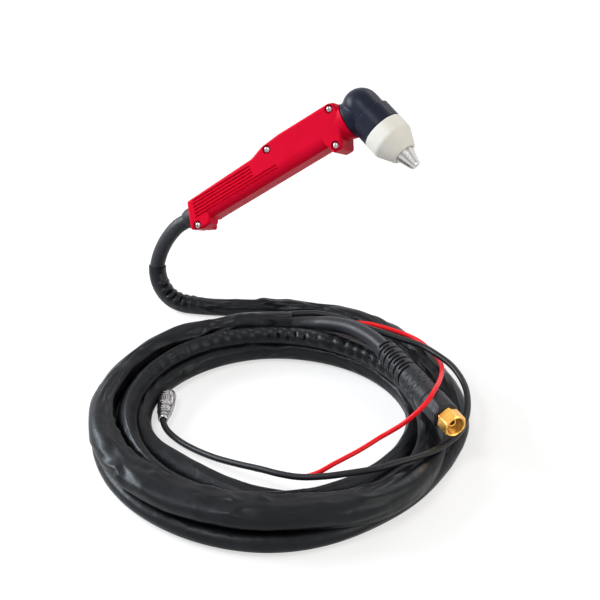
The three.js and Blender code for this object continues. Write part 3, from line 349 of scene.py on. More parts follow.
def outward(made):
    """Turns the faces round if they point inwards."""
    mesh = made.data
    mesh.calc_loop_triangles()
    co = np.zeros(len(mesh.vertices) * 3, np.float32)
    mesh.vertices.foreach_get("co", co)
    co = co.reshape(-1, 3).astype(float)
    tri = np.zeros(len(mesh.loop_triangles) * 3, np.int32)
    mesh.loop_triangles.foreach_get("vertices", tri)
    a, b, c = (co[tri.reshape(-1, 3)[:, i]] for i in range(3))
    if (a * np.cross(b, c)).sum() < 0:
        mesh.flip_normals()


def shade(made, crease):
    made.data.polygons.foreach_set("use_smooth", [True] * len(made.data.polygons))
    made.data.set_sharp_from_angle(angle=math.radians(crease))
    made.data.update()


def skin(name, rings, material, where=PLAIN, closed=False, run=None, crease=35.0):
    """A body through rings of points. It closes on itself or ends in fans on a middle point."""
    rings = np.asarray(rings, float)
    n, m, _ = rings.shape
    verts = rings.reshape(-1, 3)
    if run is None:
        middle = rings[:, 0]
        run = np.r_[0, np.cumsum(np.linalg.norm(np.diff(middle, axis=0), axis=1))]
    rows = n if closed else n - 1
    i, j = np.meshgrid(np.arange(rows), np.arange(m), indexing="ij")
    i, j = i.ravel(), j.ravel()
    k, l = (i + 1) % n, (j + 1) % m
    quads = np.stack([i * m + j, i * m + l, k * m + l, k * m + j], 1)
    top = np.where(k == 0, run[-1] + 1, run[k])
    uvs = np.stack([np.stack([j / m, run[i]], 1), np.stack([(j + 1) / m, run[i]], 1),
                    np.stack([(j + 1) / m, top], 1), np.stack([j / m, top], 1)], 1).reshape(-1, 2)
    uvs[:, 1] *= MM
    faces, uvs = quads.tolist(), uvs.tolist()
    if not closed:
        verts = np.vstack([verts, rings[0].mean(0), rings[-1].mean(0)])
        for ring, pole in ((0, n * m), ((n - 1) * m, n * m + 1)):
            for j in range(m):
                pair = (ring + (j + 1) % m, ring + j) if ring == 0 else (ring + j, ring + (j + 1) % m)
                faces.append((pole,) + pair)
                uvs += [((j + 0.5) / m, 0), (j / m, 0.004), ((j + 1) / m, 0.004)]
    return add_piece(name, verts, faces, material, where, uvs, crease)


def unit(value):
    """Keeps a value between 0 and 1."""
    return min(1, max(0, value))


def circle(radius, z, sides):
    """A ring of points round local z. The radius may follow the angle."""
    angles = [2 * math.pi * k / sides for k in range(sides)]
    sizes = [radius(a) if callable(radius) else radius for a in angles]
    return [(r * math.cos(a), r * math.sin(a), z) for r, a in zip(sizes, angles)]


def edge_ways(points):
    """Unit directions of the edge after and the edge before each corner of an outline."""
    after, before = np.roll(points, -1, 0) - points, points - np.roll(points, 1, 0)
    return (after / np.linalg.norm(after, axis=1)[:, None], before / np.linalg.norm(before, axis=1)[:, None])


def eased(points, radius, steps=4, closed=False):
    """Rounds the corners of an outline. A radius may be one number or one for each corner."""
    pts = [np.array(p[:2], float) for p in points]
    radii = radius if isinstance(radius, (list, tuple)) else [radius] * len(pts)
    out = []
    for i, (here, r) in enumerate(zip(pts, radii)):
        if not closed and i in (0, len(pts) - 1):
            out.append(here)
            continue
        back, ahead = pts[i - 1] - here, pts[(i + 1) % len(pts)] - here
        lb, la = np.linalg.norm(back), np.linalg.norm(ahead)
        back, ahead = back / lb, ahead / la
        half = math.acos(max(-1.0, min(1.0, float(back @ ahead)))) / 2
        if r <= 0 or abs(math.pi / 2 - half) < 0.02:
            out.append(here)
            continue
        trim = min(r / math.tan(half), 0.45 * lb, 0.45 * la)
        for t in np.linspace(0, 1, steps + 1):
            out.append(here + back * trim * (1 - t) ** 2 + ahead * trim * t ** 2)
    return out


def turned(name, profile, material, where, sides=96, tube=False, ease=0.0, crease=35.0):
    """A body turned round local z from (radius, height) pairs. A tube's profile closes on itself."""
    line = eased(profile, ease, closed=tube) if ease else [np.array(p, float) for p in profile]
    if not tube:
        line = [p for p in line if p[0] > 1e-6]
    angles = np.linspace(0, 2 * math.pi, sides, endpoint=False)
    rings = [[(r * math.cos(a), r * math.sin(a), z) for a in angles] for r, z in line]
    flat = np.array(line)
    run = np.r_[0, np.cumsum(np.linalg.norm(np.diff(flat, axis=0), axis=1))]
    return skin(name, rings, material, where, closed=tube, run=run, crease=crease)


def prism(name, outline, low, high, material, where, edge=0.0, steps=5, crease=35.0):
    """An outline pulled from low to high, its two ends rounded over by edge."""
    pts = np.array(outline, float)
    after, before = edge_ways(pts)
    area = (pts[:, 0] * np.roll(pts[:, 1], -1) - np.roll(pts[:, 0], -1) * pts[:, 1]).sum()
    mean = after + before
    mean /= np.linalg.norm(mean, axis=1)[:, None]
    inwards = np.stack([-mean[:, 1], mean[:, 0]], 1) * (1 if area > 0 else -1)
    levels = [(low, 0.0), (high, 0.0)]
    if edge:
        turns = np.linspace(0, math.pi / 2, steps + 1)
        foot = [(low + edge * (1 - math.sin(a)), edge * (1 - math.cos(a))) for a in turns[::-1]]
        crown = [(high - edge * (1 - math.sin(a)), edge * (1 - math.cos(a))) for a in turns]
        levels = foot + crown
    rings = [[(*(p + q * inset), level) for p, q in zip(pts, inwards)] for level, inset in levels]
    n, m = len(rings), len(pts)
    faces = [(i * m + j, i * m + (j + 1) % m, (i + 1) * m + (j + 1) % m, (i + 1) * m + j)
             for i in range(n - 1) for j in range(m)]
    faces += [tuple(range(m))[::-1], tuple((n - 1) * m + j for j in range(m))]
    return add_piece(name, np.array(rings).reshape(-1, 3), faces, material, where, crease=crease)


def block(low, high, where):
    (x0, y0, z0), (x1, y1, z1) = low, high
    return prism("cutter", [(x0, y0), (x1, y0), (x1, y1), (x0, y1)], z0, z1, RED, where)


def combined(target, others, kind):
    """Cuts, joins or keeps the common part, then drops the other bodies."""
    for other in others:
        step = target.modifiers.new("step", "BOOLEAN")
        step.operation, step.solver, step.object = kind, "MANIFOLD", other
    bpy.context.view_layer.update()
    ready = target.evaluated_get(bpy.context.evaluated_depsgraph_get())
    mesh = bpy.data.meshes.new_from_object(ready, preserve_all_data_layers=True,
                                           depsgraph=bpy.context.evaluated_depsgraph_get())
    target.modifiers.clear()
    old, target.data = target.data, mesh
    mesh.name = target.name
    bpy.data.meshes.remove(old)
    for other in others:
        bpy.data.objects.remove(other)
    return target


def cut(target, *others):
    return combined(target, others, "DIFFERENCE")


def join(target, *others):
    return combined(target, others, "UNION")


def common(target, other):
    return combined(target, (other,), "INTERSECT")


def levelled(made, crease):
    """Leans every corner's normal to the widest flat it touches, so a cut face shades as one.

    Faces in one plane make one flat. A plane is told by its direction and its distance, both rounded.
    """
    shade(made, crease)
    mesh = made.data
    count, corners = len(mesh.polygons), len(mesh.loops)
    facing, middle, area = np.zeros(count * 3), np.zeros(count * 3), np.zeros(count)
    mesh.polygons.foreach_get("normal", facing)
    mesh.polygons.foreach_get("center", middle)
    mesh.polygons.foreach_get("area", area)
    facing, middle = facing.reshape(-1, 3), middle.reshape(-1, 3)
    plane = np.c_[np.round(facing * 400), np.round((facing * middle).sum(1) / (0.02 * MM))]
    _, group = np.unique(plane, axis=0, return_inverse=True)
    group = group.ravel()
    flat_area = np.bincount(group, weights=area)[group]
    vertex, sizes = np.zeros(corners, np.int32), np.zeros(count, np.int32)
    mesh.loops.foreach_get("vertex_index", vertex)
    mesh.polygons.foreach_get("loop_total", sizes)
    owner = np.repeat(np.arange(count), sizes)
    order = np.argsort(vertex, kind="stable")
    ends = np.r_[np.flatnonzero(np.diff(vertex[order])) + 1, corners]
    limit, out, start = math.cos(math.radians(crease)), np.zeros((corners, 3)), 0
    for end in ends:
        here = order[start:end]
        own = facing[owner[here]]
        weight = (own @ own.T > limit) * flat_area[owner[here]][None, :]
        out[here] = weight @ own
        start = end
    out /= np.maximum(np.linalg.norm(out, axis=1), 1e-12)[:, None]
    mesh.normals_split_custom_set(out.tolist())
    return made


def scored(made, where, *places):
    """Scores a body along planes across local x, y and z, so that no cut leaves a hole inside one face."""
    work = bmesh.new()
    work.from_mesh(made.data)
    for axis, values in enumerate(places):
        normal = (where.to_3x3() @ Vector([1.0 if k == axis else 0.0 for k in range(3)])).normalized()
        for value in values:
            spot = where @ Vector([value if k == axis else 0.0 for k in range(3)])
            everything = work.verts[:] + work.edges[:] + work.faces[:]
            bmesh.ops.bisect_plane(work, geom=everything, plane_co=spot, plane_no=normal, dist=1e-7)
    work.to_mesh(made.data)
    work.free()
    return made


def fitted(made, body, slot, *nodes):
    """Says which body a piece rides on and hides the CAD nodes it stands for. The slot is not used."""
    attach(made, body)
    if nodes:
        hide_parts(*nodes)
    return made


# ------------------------------------------------------------------ camera, light, floor
LENS, SENSOR = 91.2, 36.0
CAMERA_PLACE, CAMERA_TILT = (0.0435, -1.2026, 0.7109), math.radians(55)
LAMPS = {  # place, aim and size in metres, then watts and colour
    "key": ((-0.70, -0.70, 1.60), (0, -0.15, 0), (0.5, 0.5), 9, (1, 1, 1)),
    "window": ((-1.43, 0.25, 0.66), (-0.12, -0.2, -0.08), (1.2, 0.5), 33, (0.88, 0.94, 1)),
    "rim": ((0.9, 1.2, 1.1), (0, -0.1, 0), (0.9, 0.5), 6, (1, 1, 1)),
    "fill": ((1.1, -0.70, 0.50), (0.1, -0.1, 0), (0.9, 0.9), 6.5, (1, 0.93, 0.82)),
}
SKY_LOW, SKY_HIGH, SKY_COLOUR = 0.14, 0.34, (0.95, 0.97, 1.0)
FLOOR_HALF, FLOOR_COLOUR, FLOOR_GLOW = 3.0, (0.46, 0.46, 0.46), 0.62
FLOOR_FADE = (0.5, 1.6)  # metres from the middle over which the floor runs out to white


def put_camera():
    lens = bpy.data.cameras.new("camera")
    lens.sensor_width, lens.lens = SENSOR, LENS
    lens.clip_start, lens.clip_end = 0.05, 50
    camera = bpy.data.objects.new("camera", lens)
    camera.location = CAMERA_PLACE
    camera.rotation_euler = (CAMERA_TILT, 0, 0)
    bpy.context.scene.collection.objects.link(camera)
    bpy.context.scene.camera = camera


def put_lamp(name, place, aim, size, watts, colour):
    lamp = bpy.data.lights.new(name, "AREA")
    lamp.shape, lamp.size, lamp.size_y = "RECTANGLE", size[0], size[1]
    lamp.energy, lamp.color = watts, colour
    made = bpy.data.objects.new(name, lamp)
    made.location = place
    made.rotation_euler = (Vector(aim) - Vector(place)).to_track_quat("-Z", "Y").to_euler()
    bpy.context.scene.collection.objects.link(made)


def seen_directly(tree):
    """1 for rays from the camera and for mirrored and bent rays, so metal shows the white too."""
    rays = add_node(tree, "ShaderNodeLightPath").outputs
    both = math_of(tree, "MAXIMUM", rays["Is Camera Ray"], rays["Is Glossy Ray"])
    return math_of(tree, "MAXIMUM", both, rays["Is Transmission Ray"])


def put_world():
    world = bpy.data.worlds.new("studio")
    bpy.context.scene.world = world
    world.use_nodes = True
    tree = world.node_tree
    tree.nodes.clear()
    place = add_node(tree, "ShaderNodeTexCoord")
    split = add_node(tree, "ShaderNodeSeparateXYZ", {"Vector": place.outputs["Generated"]})
    rise = range_of(tree, split.outputs["Z"], -0.2, 0.9, SKY_LOW, SKY_HIGH)
    ambient = add_node(tree, "ShaderNodeBackground", {"Strength": rise, "Color": SKY_COLOUR})
    white = add_node(tree, "ShaderNodeBackground", {"Color": (1, 1, 1)})
    mix = add_node(tree, "ShaderNodeMixShader", {"Fac": seen_directly(tree), 1: ambient.outputs[0],
                                                 2: white.outputs[0]})
    add_node(tree, "ShaderNodeOutputWorld", {"Surface": mix.outputs[0]})


def put_floor():
    """A pale floor with the object's soft shadow on it, running out to white away from the object."""
    half, level = FLOOR_HALF, FLOOR * MM - 0.0001
    mesh = bpy.data.meshes.new("floor")
    corners = [(-half, -half, level), (half, -half, level), (half, half, level), (-half, half, level)]
    mesh.from_pydata(corners, [], [(0, 1, 2, 3)])
    paint = bpy.data.materials.new("pale_floor")
    paint.use_nodes = True
    tree = paint.node_tree
    tree.nodes.clear()
    place = add_node(tree, "ShaderNodeTexCoord")
    away = add_node(tree, "ShaderNodeVectorMath", {0: place.outputs["Object"]}, operation="LENGTH")
    paler = range_of(tree, away.outputs["Value"], *FLOOR_FADE, FLOOR_GLOW, 1.0)
    strength = math_of(tree, "MULTIPLY", seen_directly(tree), paler)
    glow = add_node(tree, "ShaderNodeEmission", {"Strength": strength})
    body = add_node(tree, "ShaderNodeBsdfDiffuse", {"Color": FLOOR_COLOUR})
    both = add_node(tree, "ShaderNodeAddShader", {0: body.outputs[0], 1: glow.outputs[0]})
    add_node(tree, "ShaderNodeOutputMaterial", {"Surface": both.outputs[0]})
    mesh.materials.append(paint)
    floor = bpy.data.objects.new("floor", mesh)
    bpy.context.scene.collection.objects.link(floor)


bpy.context.scene.view_settings.view_transform = "Standard"
put_camera()
put_world()
for lamp_name, lamp_facts in LAMPS.items():
    put_lamp(lamp_name, *lamp_facts)
put_floor()


# ------------------------------------------------------------------ cords by geometry nodes
def socket_of(tree, name):
    return next(s.identifier for s in tree.interface.items_tree if s.name == name)


def open_tree(name, result, **inputs):
    """A geometry tree with its named inputs, each a kind of socket and a value, and what they give."""
    tree = bpy.data.node_groups.new(name, "GeometryNodeTree")
    for key, (kind, value) in inputs.items():
        made = tree.interface.new_socket(key, in_out="INPUT", socket_type="NodeSocket" + kind)
        if value is not None:
            made.default_value = value
    tree.interface.new_socket(result, in_out="OUTPUT", socket_type="NodeSocketGeometry")
    return tree, add_node(tree, "NodeGroupInput").outputs


def close_tree(tree, result, geometry, finish):
    """Makes the instances real and gives them their finish."""
    real = add_node(tree, "GeometryNodeRealizeInstances", {"Geometry": geometry})
    paint = add_node(tree, "GeometryNodeSetMaterial", {"Geometry": real.outputs[0], "Material": finish})
    add_node(tree, "NodeGroupOutput", {result: paint.outputs[0]})
    return tree


def sheath_tree():
    """Sweeps a round sheath along a curve, faintly uneven, as drawn rubber is."""
    tree, given = open_tree("sheath", "Sheath", Line=("Geometry", None), Radius=("Float", 0.003),
                            Wander=("Float", 0.01), Sides=("Int", 20), Seed=("Int", 1),
                            Finish=("Material", None))
    ring = add_node(tree, "GeometryNodeCurvePrimitiveCircle", {"Resolution": given["Sides"],
                                                               "Radius": given["Radius"]})
    sweep = add_node(tree, "GeometryNodeCurveToMesh", {"Curve": given["Line"], "Fill Caps": True,
                                                       "Profile Curve": ring.outputs["Curve"]})
    wave = add_node(tree, "ShaderNodeTexNoise", {"Scale": 60.0, "W": given["Seed"]}, noise_dimensions="4D")
    reach = math_of(tree, "MULTIPLY", given["Radius"], given["Wander"])
    size = math_of(tree, "MULTIPLY", math_of(tree, "SUBTRACT", wave.outputs["Fac"], 0.5), reach)
    normal = add_node(tree, "GeometryNodeInputNormal")
    swell = add_node(tree, "ShaderNodeVectorMath", {0: normal.outputs["Normal"], "Scale": size},
                     operation="SCALE")
    shift = add_node(tree, "GeometryNodeSetPosition", {"Geometry": sweep.outputs["Mesh"],
                                                       "Offset": swell.outputs[0]})
    smooth = add_node(tree, "GeometryNodeSetShadeSmooth", {"Geometry": shift.outputs["Geometry"]})
    return close_tree(tree, "Sheath", smooth.outputs["Geometry"], given["Finish"])


SHEATH = sheath_tree()


def grown(name, source, tree, **values):
    """Runs a geometry tree on an object and keeps the plain mesh."""
    step = source.modifiers.new("grow", "NODES")
    step.node_group = tree
    for key, value in values.items():
        step[socket_of(tree, key)] = value
    bpy.context.view_layer.update()
    graph = bpy.context.evaluated_depsgraph_get()
    mesh = bpy.data.meshes.new_from_object(source.evaluated_get(graph), depsgraph=graph)
    source.modifiers.clear()
    bpy.data.objects.remove(source)
    made = bpy.data.objects.new(name, mesh)
    mesh.name = name
    bpy.context.scene.collection.objects.link(made)
    outward(made)
    return made


def line_object(points):
    curve = bpy.data.curves.new("line", "CURVE")
    curve.dimensions = "3D"
    spline = curve.splines.new("POLY")
    spline.points.add(len(points) - 1)
    spline.points.foreach_set("co", np.c_[points * MM, np.ones(len(points))].ravel())
    made = bpy.data.objects.new("line", curve)
    bpy.context.scene.collection.objects.link(made)
    return made


CORD_STEP, CORD_WANDER = 2.0, 0.03


def sheathed(name, route, radius, sides, material, seed):
    """A cord through a route, with its path."""
    points = smoothed(route, CORD_STEP)
    made = grown(name, line_object(points), SHEATH, Radius=radius * MM, Sides=sides, Wander=CORD_WANDER,
                 Seed=seed, Finish=material)
    shade(made, 50)
    return made, points


# ------------------------------------------------------------------ jacket
COIL_INNER, COIL_PITCH, LAYER_PITCH = 104.0, 18.5, 15.7
LOOPS_FROM, LOOPS_IN, LOOPS_TO = 0.2, 2.5, 4.018
LOWER_CENTRE, UPPER_CENTRE, COIL_OVAL = (24, -195), (18, -200), (1.05, 0.98)
LOWER_LEVEL, CLIMB_LOOPS = -126.2, 0.5
LEAD_PER_LOOP = 850.0  # mm of lead-in that count as one loop in the table of shapes


def coil_point(loops):
    """Middle of the jacket, clockwise from above, in loops from the back."""
    climb = min(max((loops - LOOPS_IN + CLIMB_LOOPS / 2) / CLIMB_LOOPS, 0.0), 1.0)
    radius = COIL_INNER + COIL_PITCH * abs(LOOPS_IN - loops)
    angle = 2 * math.pi * loops
    x, y = (low + (high - low) * climb for low, high in zip(LOWER_CENTRE, UPPER_CENTRE))
    return (x + COIL_OVAL[0] * radius * math.sin(angle), y + COIL_OVAL[1] * radius * math.cos(angle),
            LOWER_LEVEL + LAYER_PITCH * climb)


# at each number of loops: shift outward, lift, half width outward and inward, rise, fall, ridge, pleats,
# folds, slope of the outer shoulder, crest along the inner edge, flap along the outer edge
JACKET_SHAPE = [
    (-0.19, 0, 0.0, 7.9, 7.9, 7.9, 7.9, 0.0, 0.0, 0.2, 0.0, 0.0, 0.0),
    (-0.145, 0, 0.0, 8.2, 8.0, 8.2, 7.9, 0.0, 0.0, 0.3, 0.0, 0.0, 0.0),
    (-0.115, 0, -0.3, 8.0, 7.8, 8.0, 7.2, 0.0, 0.2, 1.2, 0.0, 0.6, 0.0),
    (-0.03, 0, -0.5, 7.8, 7.8, 8.2, 6.8, 0.0, 0.1, 1.2, 0.0, 0.5, 0.0),
    (0.06, 0, -0.2, 8.4, 8.2, 8.8, 7.0, 0.0, 0.2, 0.6, 0.0, 0.4, 0.0),
    (0.15, 1, 1.0, 9.2, 8.8, 9.5, 8.0, 0.0, 0.1, 0.7, 0.0, 0.5, 0.0),
    (0.22, 1, 4.0, 12.5, 9.5, 11.5, 11.0, 0.0, 0.0, 0.8, 0.0, 0.8, 0.0),
    (0.26, 0, 3.0, 12.5, 9.5, 10.0, 10.5, 0.0, 0.0, 0.7, 0.0, 0.8, 0.0),
    (0.31, -7, -0.3, 8.5, 8.5, 7.0, 7.6, 0.0, 0.0, 0.4, 0.0, 0.2, 0.0),
    (0.41, -7, -0.3, 9.5, 8.5, 7.0, 7.6, 0.0, 0.0, 0.3, 0.0, 0.0, 0.0),
    (0.46, -1, 0.2, 11.5, 9.5, 8.0, 7.8, 0.0, 0.0, 0.3, 0.0, 0.2, 0.0),
    (0.51, 3, 0.5, 12.0, 11.0, 8.4, 8.0, 0.0, 0.0, 0.3, 0.0, 0.0, 0.0),
    (0.60, 3, 0.5, 12.0, 12.0, 8.4, 8.0, 0.0, 0.0, 0.3, 0.0, 0.0, 0.0),
    (0.75, 3, 0.5, 12.5, 15.5, 8.4, 8.0, 0.0, 0.0, 0.3, 0.0, 0.0, 0.0),
    (0.90, 3, 0.2, 10.0, 11.0, 8.2, 7.8, 0.0, 0.1, 0.6, 0.0, 0.0, 0.0),
    (1.10, 2, 0.2, 9.5, 9.0, 8.0, 7.8, 0.0, 0.2, 0.6, 0.0, 0.0, 0.0),
    (1.26, 3, 0.0, 9.5, 9.0, 8.2, 7.6, 0.0, 0.0, 0.5, 0.0, 0.3, 0.0),
    (1.34, -4, 0.0, 9.5, 9.0, 8.2, 7.6, 0.0, 0.0, 0.4, 0.0, 0.4, 0.0),
    (1.43, -16, 0.0, 10.0, 9.0, 8.2, 7.6, 0.2, 0.0, 0.3, 0.0, 0.4, 0.0),
    (1.52, -29, 0.0, 11.0, 9.5, 8.2, 7.8, 0.3, 0.0, 0.2, 0.0, 0.3, 0.0),
    (1.60, -34, 0.2, 11.0, 9.5, 8.6, 7.8, 0.5, 0.0, 0.2, 0.0, 0.3, 0.0),
    (1.66, -30, 0.3, 14.0, 9.5, 9.0, 7.8, 0.5, 0.0, 0.2, 0.0, 0.3, 0.0),
    (1.70, -18, 0.4, 17.0, 9.5, 9.4, 7.8, 0.5, 0.0, 0.2, 0.0, 0.3, 0.0),
    (1.735, -6, 0.4, 17.0, 9.5, 9.4, 7.8, 0.5, 0.0, 0.2, 0.0, 0.3, 0.0),
    (1.80, -2, 0.6, 16.0, 9.0, 9.8, 7.8, 0.4, 0.0, 0.3, 0.0, 0.3, 0.0),
    (1.90, -3, 1.0, 11.0, 10.0, 10.0, 8.2, 0.1, 0.0, 0.5, 0.2, 0.3, 0.0),
    (2.05, -2, 1.5, 8.5, 9.5, 10.5, 9.0, 0.0, 0.0, 0.6, 0.0, 0.3, 0.0),
    (2.15, 3, 0.5, 8.5, 9.0, 9.0, 8.0, 0.0, 0.0, 0.6, 0.0, 0.3, 0.0),
    (2.24, 8, 0.0, 8.5, 8.5, 8.2, 7.6, 0.0, 0.0, 0.5, 0.0, 0.4, 0.0),
    (2.33, -1, 0.0, 8.5, 9.5, 8.2, 7.6, 0.0, 0.0, 0.4, 0.0, 0.5, 0.0),
    (2.42, -3, -1.0, 8.5, 9.5, 7.2, 7.0, 0.0, 0.0, 0.4, 0.0, 0.5, 0.0),
    (2.50, -3, -2.0, 9.0, 9.5, 6.8, 6.6, 0.1, 0.0, 0.3, 0.0, 0.3, 0.0),
    (2.57, 3, -1.5, 8.5, 9.0, 7.8, 7.0, 0.6, 0.0, 0.2, 0.0, 0.0, 0.0),
    (2.64, 7, 0.0, 8.0, 8.5, 9.2, 7.6, 0.8, 0.0, 0.1, 0.0, 0.0, 0.0),
    (2.75, 8, 0.0, 8.0, 8.5, 9.4, 7.6, 0.9, 0.0, 0.1, 0.0, 0.0, 0.0),
    (2.88, 8, 0.0, 7.5, 7.5, 8.8, 7.6, 0.7, 0.4, 0.2, 0.0, 0.0, 0.0),
    (3.02, 2, 0.3, 7.5, 7.5, 8.0, 7.6, 0.1, 1.3, 0.3, 0.0, 0.0, 0.0),
    (3.12, 3, -0.5, 8.5, 8.0, 7.8, 7.6, 0.0, 1.2, 0.4, 0.0, 0.0, 0.0),
    (3.21, 9, -2.0, 12.5, 9.5, 8.0, 10.5, 0.0, 0.1, 0.5, 0.0, 0.2, 0.0),
    (3.30, 14, -6.0, 15.5, 11.0, 6.5, 15.0, 0.0, 0.0, 0.5, 0.0, 0.0, 0.0),
    (3.335, 14, -4.5, 15.5, 11.0, 7.5, 15.0, 0.0, 0.0, 0.6, -0.3, 0.0, 0.0),
    (3.37, 13, -1.5, 15.0, 11.0, 9.0, 15.0, 0.0, 0.0, 0.7, -0.35, 0.0, 0.2),
    (3.41, 12, 0.0, 15.0, 12.0, 11.0, 14.5, 0.0, 0.0, 0.8, -0.1, 1.0, 0.7),
    (3.46, 5, 2.0, 15.0, 13.0, 11.5, 11.5, 0.0, 0.0, 0.9, 0.0, 2.2, 1.0),
    (3.54, 3, 3.0, 15.5, 14.5, 11.5, 10.5, 0.0, 0.0, 1.0, 0.0, 2.2, 1.0),
    (3.63, 4, 2.5, 15.0, 13.5, 11.0, 10.0, 0.0, 0.0, 1.1, 0.0, 2.2, 1.0),
    (3.75, 9, 1.0, 12.0, 9.5, 10.0, 9.2, 0.0, 0.0, 1.3, 0.0, 1.4, 0.6),
    (3.87, 6, 1.5, 10.5, 9.5, 10.6, 9.0, 0.0, 0.0, 1.8, 0.0, 0.8, 0.0),
    (3.95, 2, 2.2, 9.5, 9.5, 11.0, 9.0, 0.0, 0.0, 1.9, 0.0, 0.4, 0.0),
    (4.00, 0, 2.6, 9.2, 9.5, 11.2, 9.6, 0.0, 0.0, 0.7, 0.0, 0.0, 0.0),
    (4.10, 0, 2.6, 9.2, 9.5, 12.0, 9.8, 0.0, 0.0, 0.2, 0.0, 0.0, 0.0),
]
JACKET_PAST_END = 5.0  # how far the sleeve reaches over the hose at its cut end
JACKET_SIDES, JACKET_STEP, JACKET_DIAMETER = 64, 2.25, 25.0
JACKET_BLUR = 9  # places over which the shape runs from one row to the next
SECTION_POWER, HANGING_POWER = 2.3, 3.4  # 2 is an ellipse; the hanging band's wall is nearly upright
FOLDS_ONE, FOLDS_TWO = (46, 22), (58, -25)  # mm from one fold to the next and mm of slant for each radian
PLEAT_EVERY, SQUEEZE_EVERY = 10.5, 8.2


def jacket_line(step):
    """Middle line of the jacket from the hose's bend on and, for each point, its number of loops."""
    bend = smoothed(HOSE_ROUTE, 0.5)
    bend = bend[(bend[:, 2] < -90) & (bend[:, 0] < -58)]
    lead = [(x, y, LOWER_LEVEL) for x, y in LEAD_ROUTE]
    first = coil_point(LOOPS_FROM)
    lead = smoothed(lead + [first, coil_point(LOOPS_FROM + 0.08)], 0.5)
    stop = int(np.argmin(np.linalg.norm(lead - np.array(first), axis=1)))
    lead = np.vstack([bend, lead[:stop]])
    loops = np.linspace(LOOPS_FROM, LOOPS_TO, 6000)
    wound = np.array([coil_point(t) for t in loops])
    behind = np.linalg.norm(np.diff(np.vstack([lead, wound[:1]]), axis=0), axis=1)
    lead_loops = LOOPS_FROM - np.cumsum(behind[::-1])[::-1] / LEAD_PER_LOOP
    last = wound[-1] + (wound[-1] - wound[-2]) / np.linalg.norm(wound[-1] - wound[-2]) * JACKET_PAST_END
    points, loops = np.vstack([lead, wound, last]), np.r_[lead_loops, loops, LOOPS_TO + 0.006]
    run = np.r_[0, np.cumsum(np.linalg.norm(np.diff(points, axis=0), axis=1))]
    at = np.linspace(0, run[-1], int(run[-1] / step) + 1)
    even = np.stack([softly(np.interp(at, run, points[:, i]), 3) for i in range(3)], 1)
    return even, np.interp(at, run, loops), at


def softly(values, width):
    """Blurs a row of values over a number of places."""
    reach = np.arange(-3 * width, 3 * width + 1)
    weights = np.exp(-0.5 * (reach / width) ** 2)
    padded = np.pad(values, 3 * width, mode="edge")
    return np.convolve(padded, weights / weights.sum(), mode="valid")


def ramp(value, low, high):
    t = min(1.0, max(0.0, (value - low) / (high - low)))
    return t * t * (3 - 2 * t)


def cloud(x, y, z):
    return noise.noise(Vector((x, y, z)))


def peaked(x):
    """A wave with broad troughs and narrow crests, from 0 to 1."""
    x = x - math.floor(x)
    return (1 - abs(2 * x - 1)) ** 1.7


def carried(tangent):
    """Sideways direction at each point: level along the coil, carried back without twist through the bend."""
    side = np.stack([-tangent[:, 1], tangent[:, 0], np.zeros(len(tangent))], 1)
    side /= np.linalg.norm(side, axis=1)[:, None]
    level = int(np.argmax(np.abs(tangent[:, 2]) < 0.05))
    for i in range(level - 1, -1, -1):
        bare = side[i + 1] - tangent[i] * (tangent[i] @ side[i + 1])
        side[i] = bare / np.linalg.norm(bare)
    return side


def folds_at(s, c, d, turn):
    """Slow bulges, and two families of slanting folds that take turns along the sleeve."""
    (every_one, slant_one), (every_two, slant_two) = FOLDS_ONE, FOLDS_TWO
    bulge = 2.2 * cloud(s / 34, c + 4, d) + 0.4 * cloud(s / 19, c * 1.6, d * 1.6 + 9)
    one = peaked((s + slant_one * turn) / every_one + 1.2 * cloud(s / 44, c * 0.8, d * 0.8 + 3))
    two = peaked((s + slant_two * turn) / every_two + 1.2 * cloud(s / 64, c * 0.8 + 9, d * 0.8))
    pick = ramp(cloud(s / 36, c + 2, d + 8), -0.12, 0.12)
    strength = ramp(cloud(s / 48, c * 0.9 + 6, d * 0.9 + 1), -0.35, 0.3)
    return bulge + (one * pick + two * (1 - pick) - 0.35) * strength * 3.0


def pleats_at(s, c, d):
    """Scallops along the inner shoulder."""
    wave = math.sin(math.pi * (s / PLEAT_EVERY + 1.2 * cloud(s / 40, 3, 1)) + 0.6 * d)
    return (abs(wave) ** 0.7 - 0.5) * 3.4 * max(0.0, -0.75 * c + 0.66 * d) ** 2


def squeeze_at(s, c, d, bent):
    """Close gathers inside the tight bend under the handle."""
    squeeze = abs(math.sin(math.pi * (s / SQUEEZE_EVERY + 0.5 * cloud(s / 15, 4, 4)))) ** 0.7 - 0.25
    return 4.6 * squeeze * bent * max(0.0, 0.80 * d - 0.45 * c) ** 1.5


def crest_at(s, c, d, crest):
    """A thin ridge that wanders along the inner edge."""
    place = 0.70 + 0.30 * cloud(s / 33, 2, 6)
    high = crest * (0.75 + 0.9 * cloud(s / 21, 8, 1))
    return high * math.exp(-((math.atan2(d, -c) - place) / 0.20) ** 2)


def lip_at(s, c, d, flap):
    """The step where one edge of the cloth laps over the outer side."""
    place, round_to = -0.25 + 0.10 * cloud(s / 60, 1, 9), math.atan2(d, c)
    return flap * 1.3 * ramp(round_to, place, place + 0.06) * (1 - ramp(round_to, 0.1, 0.9))


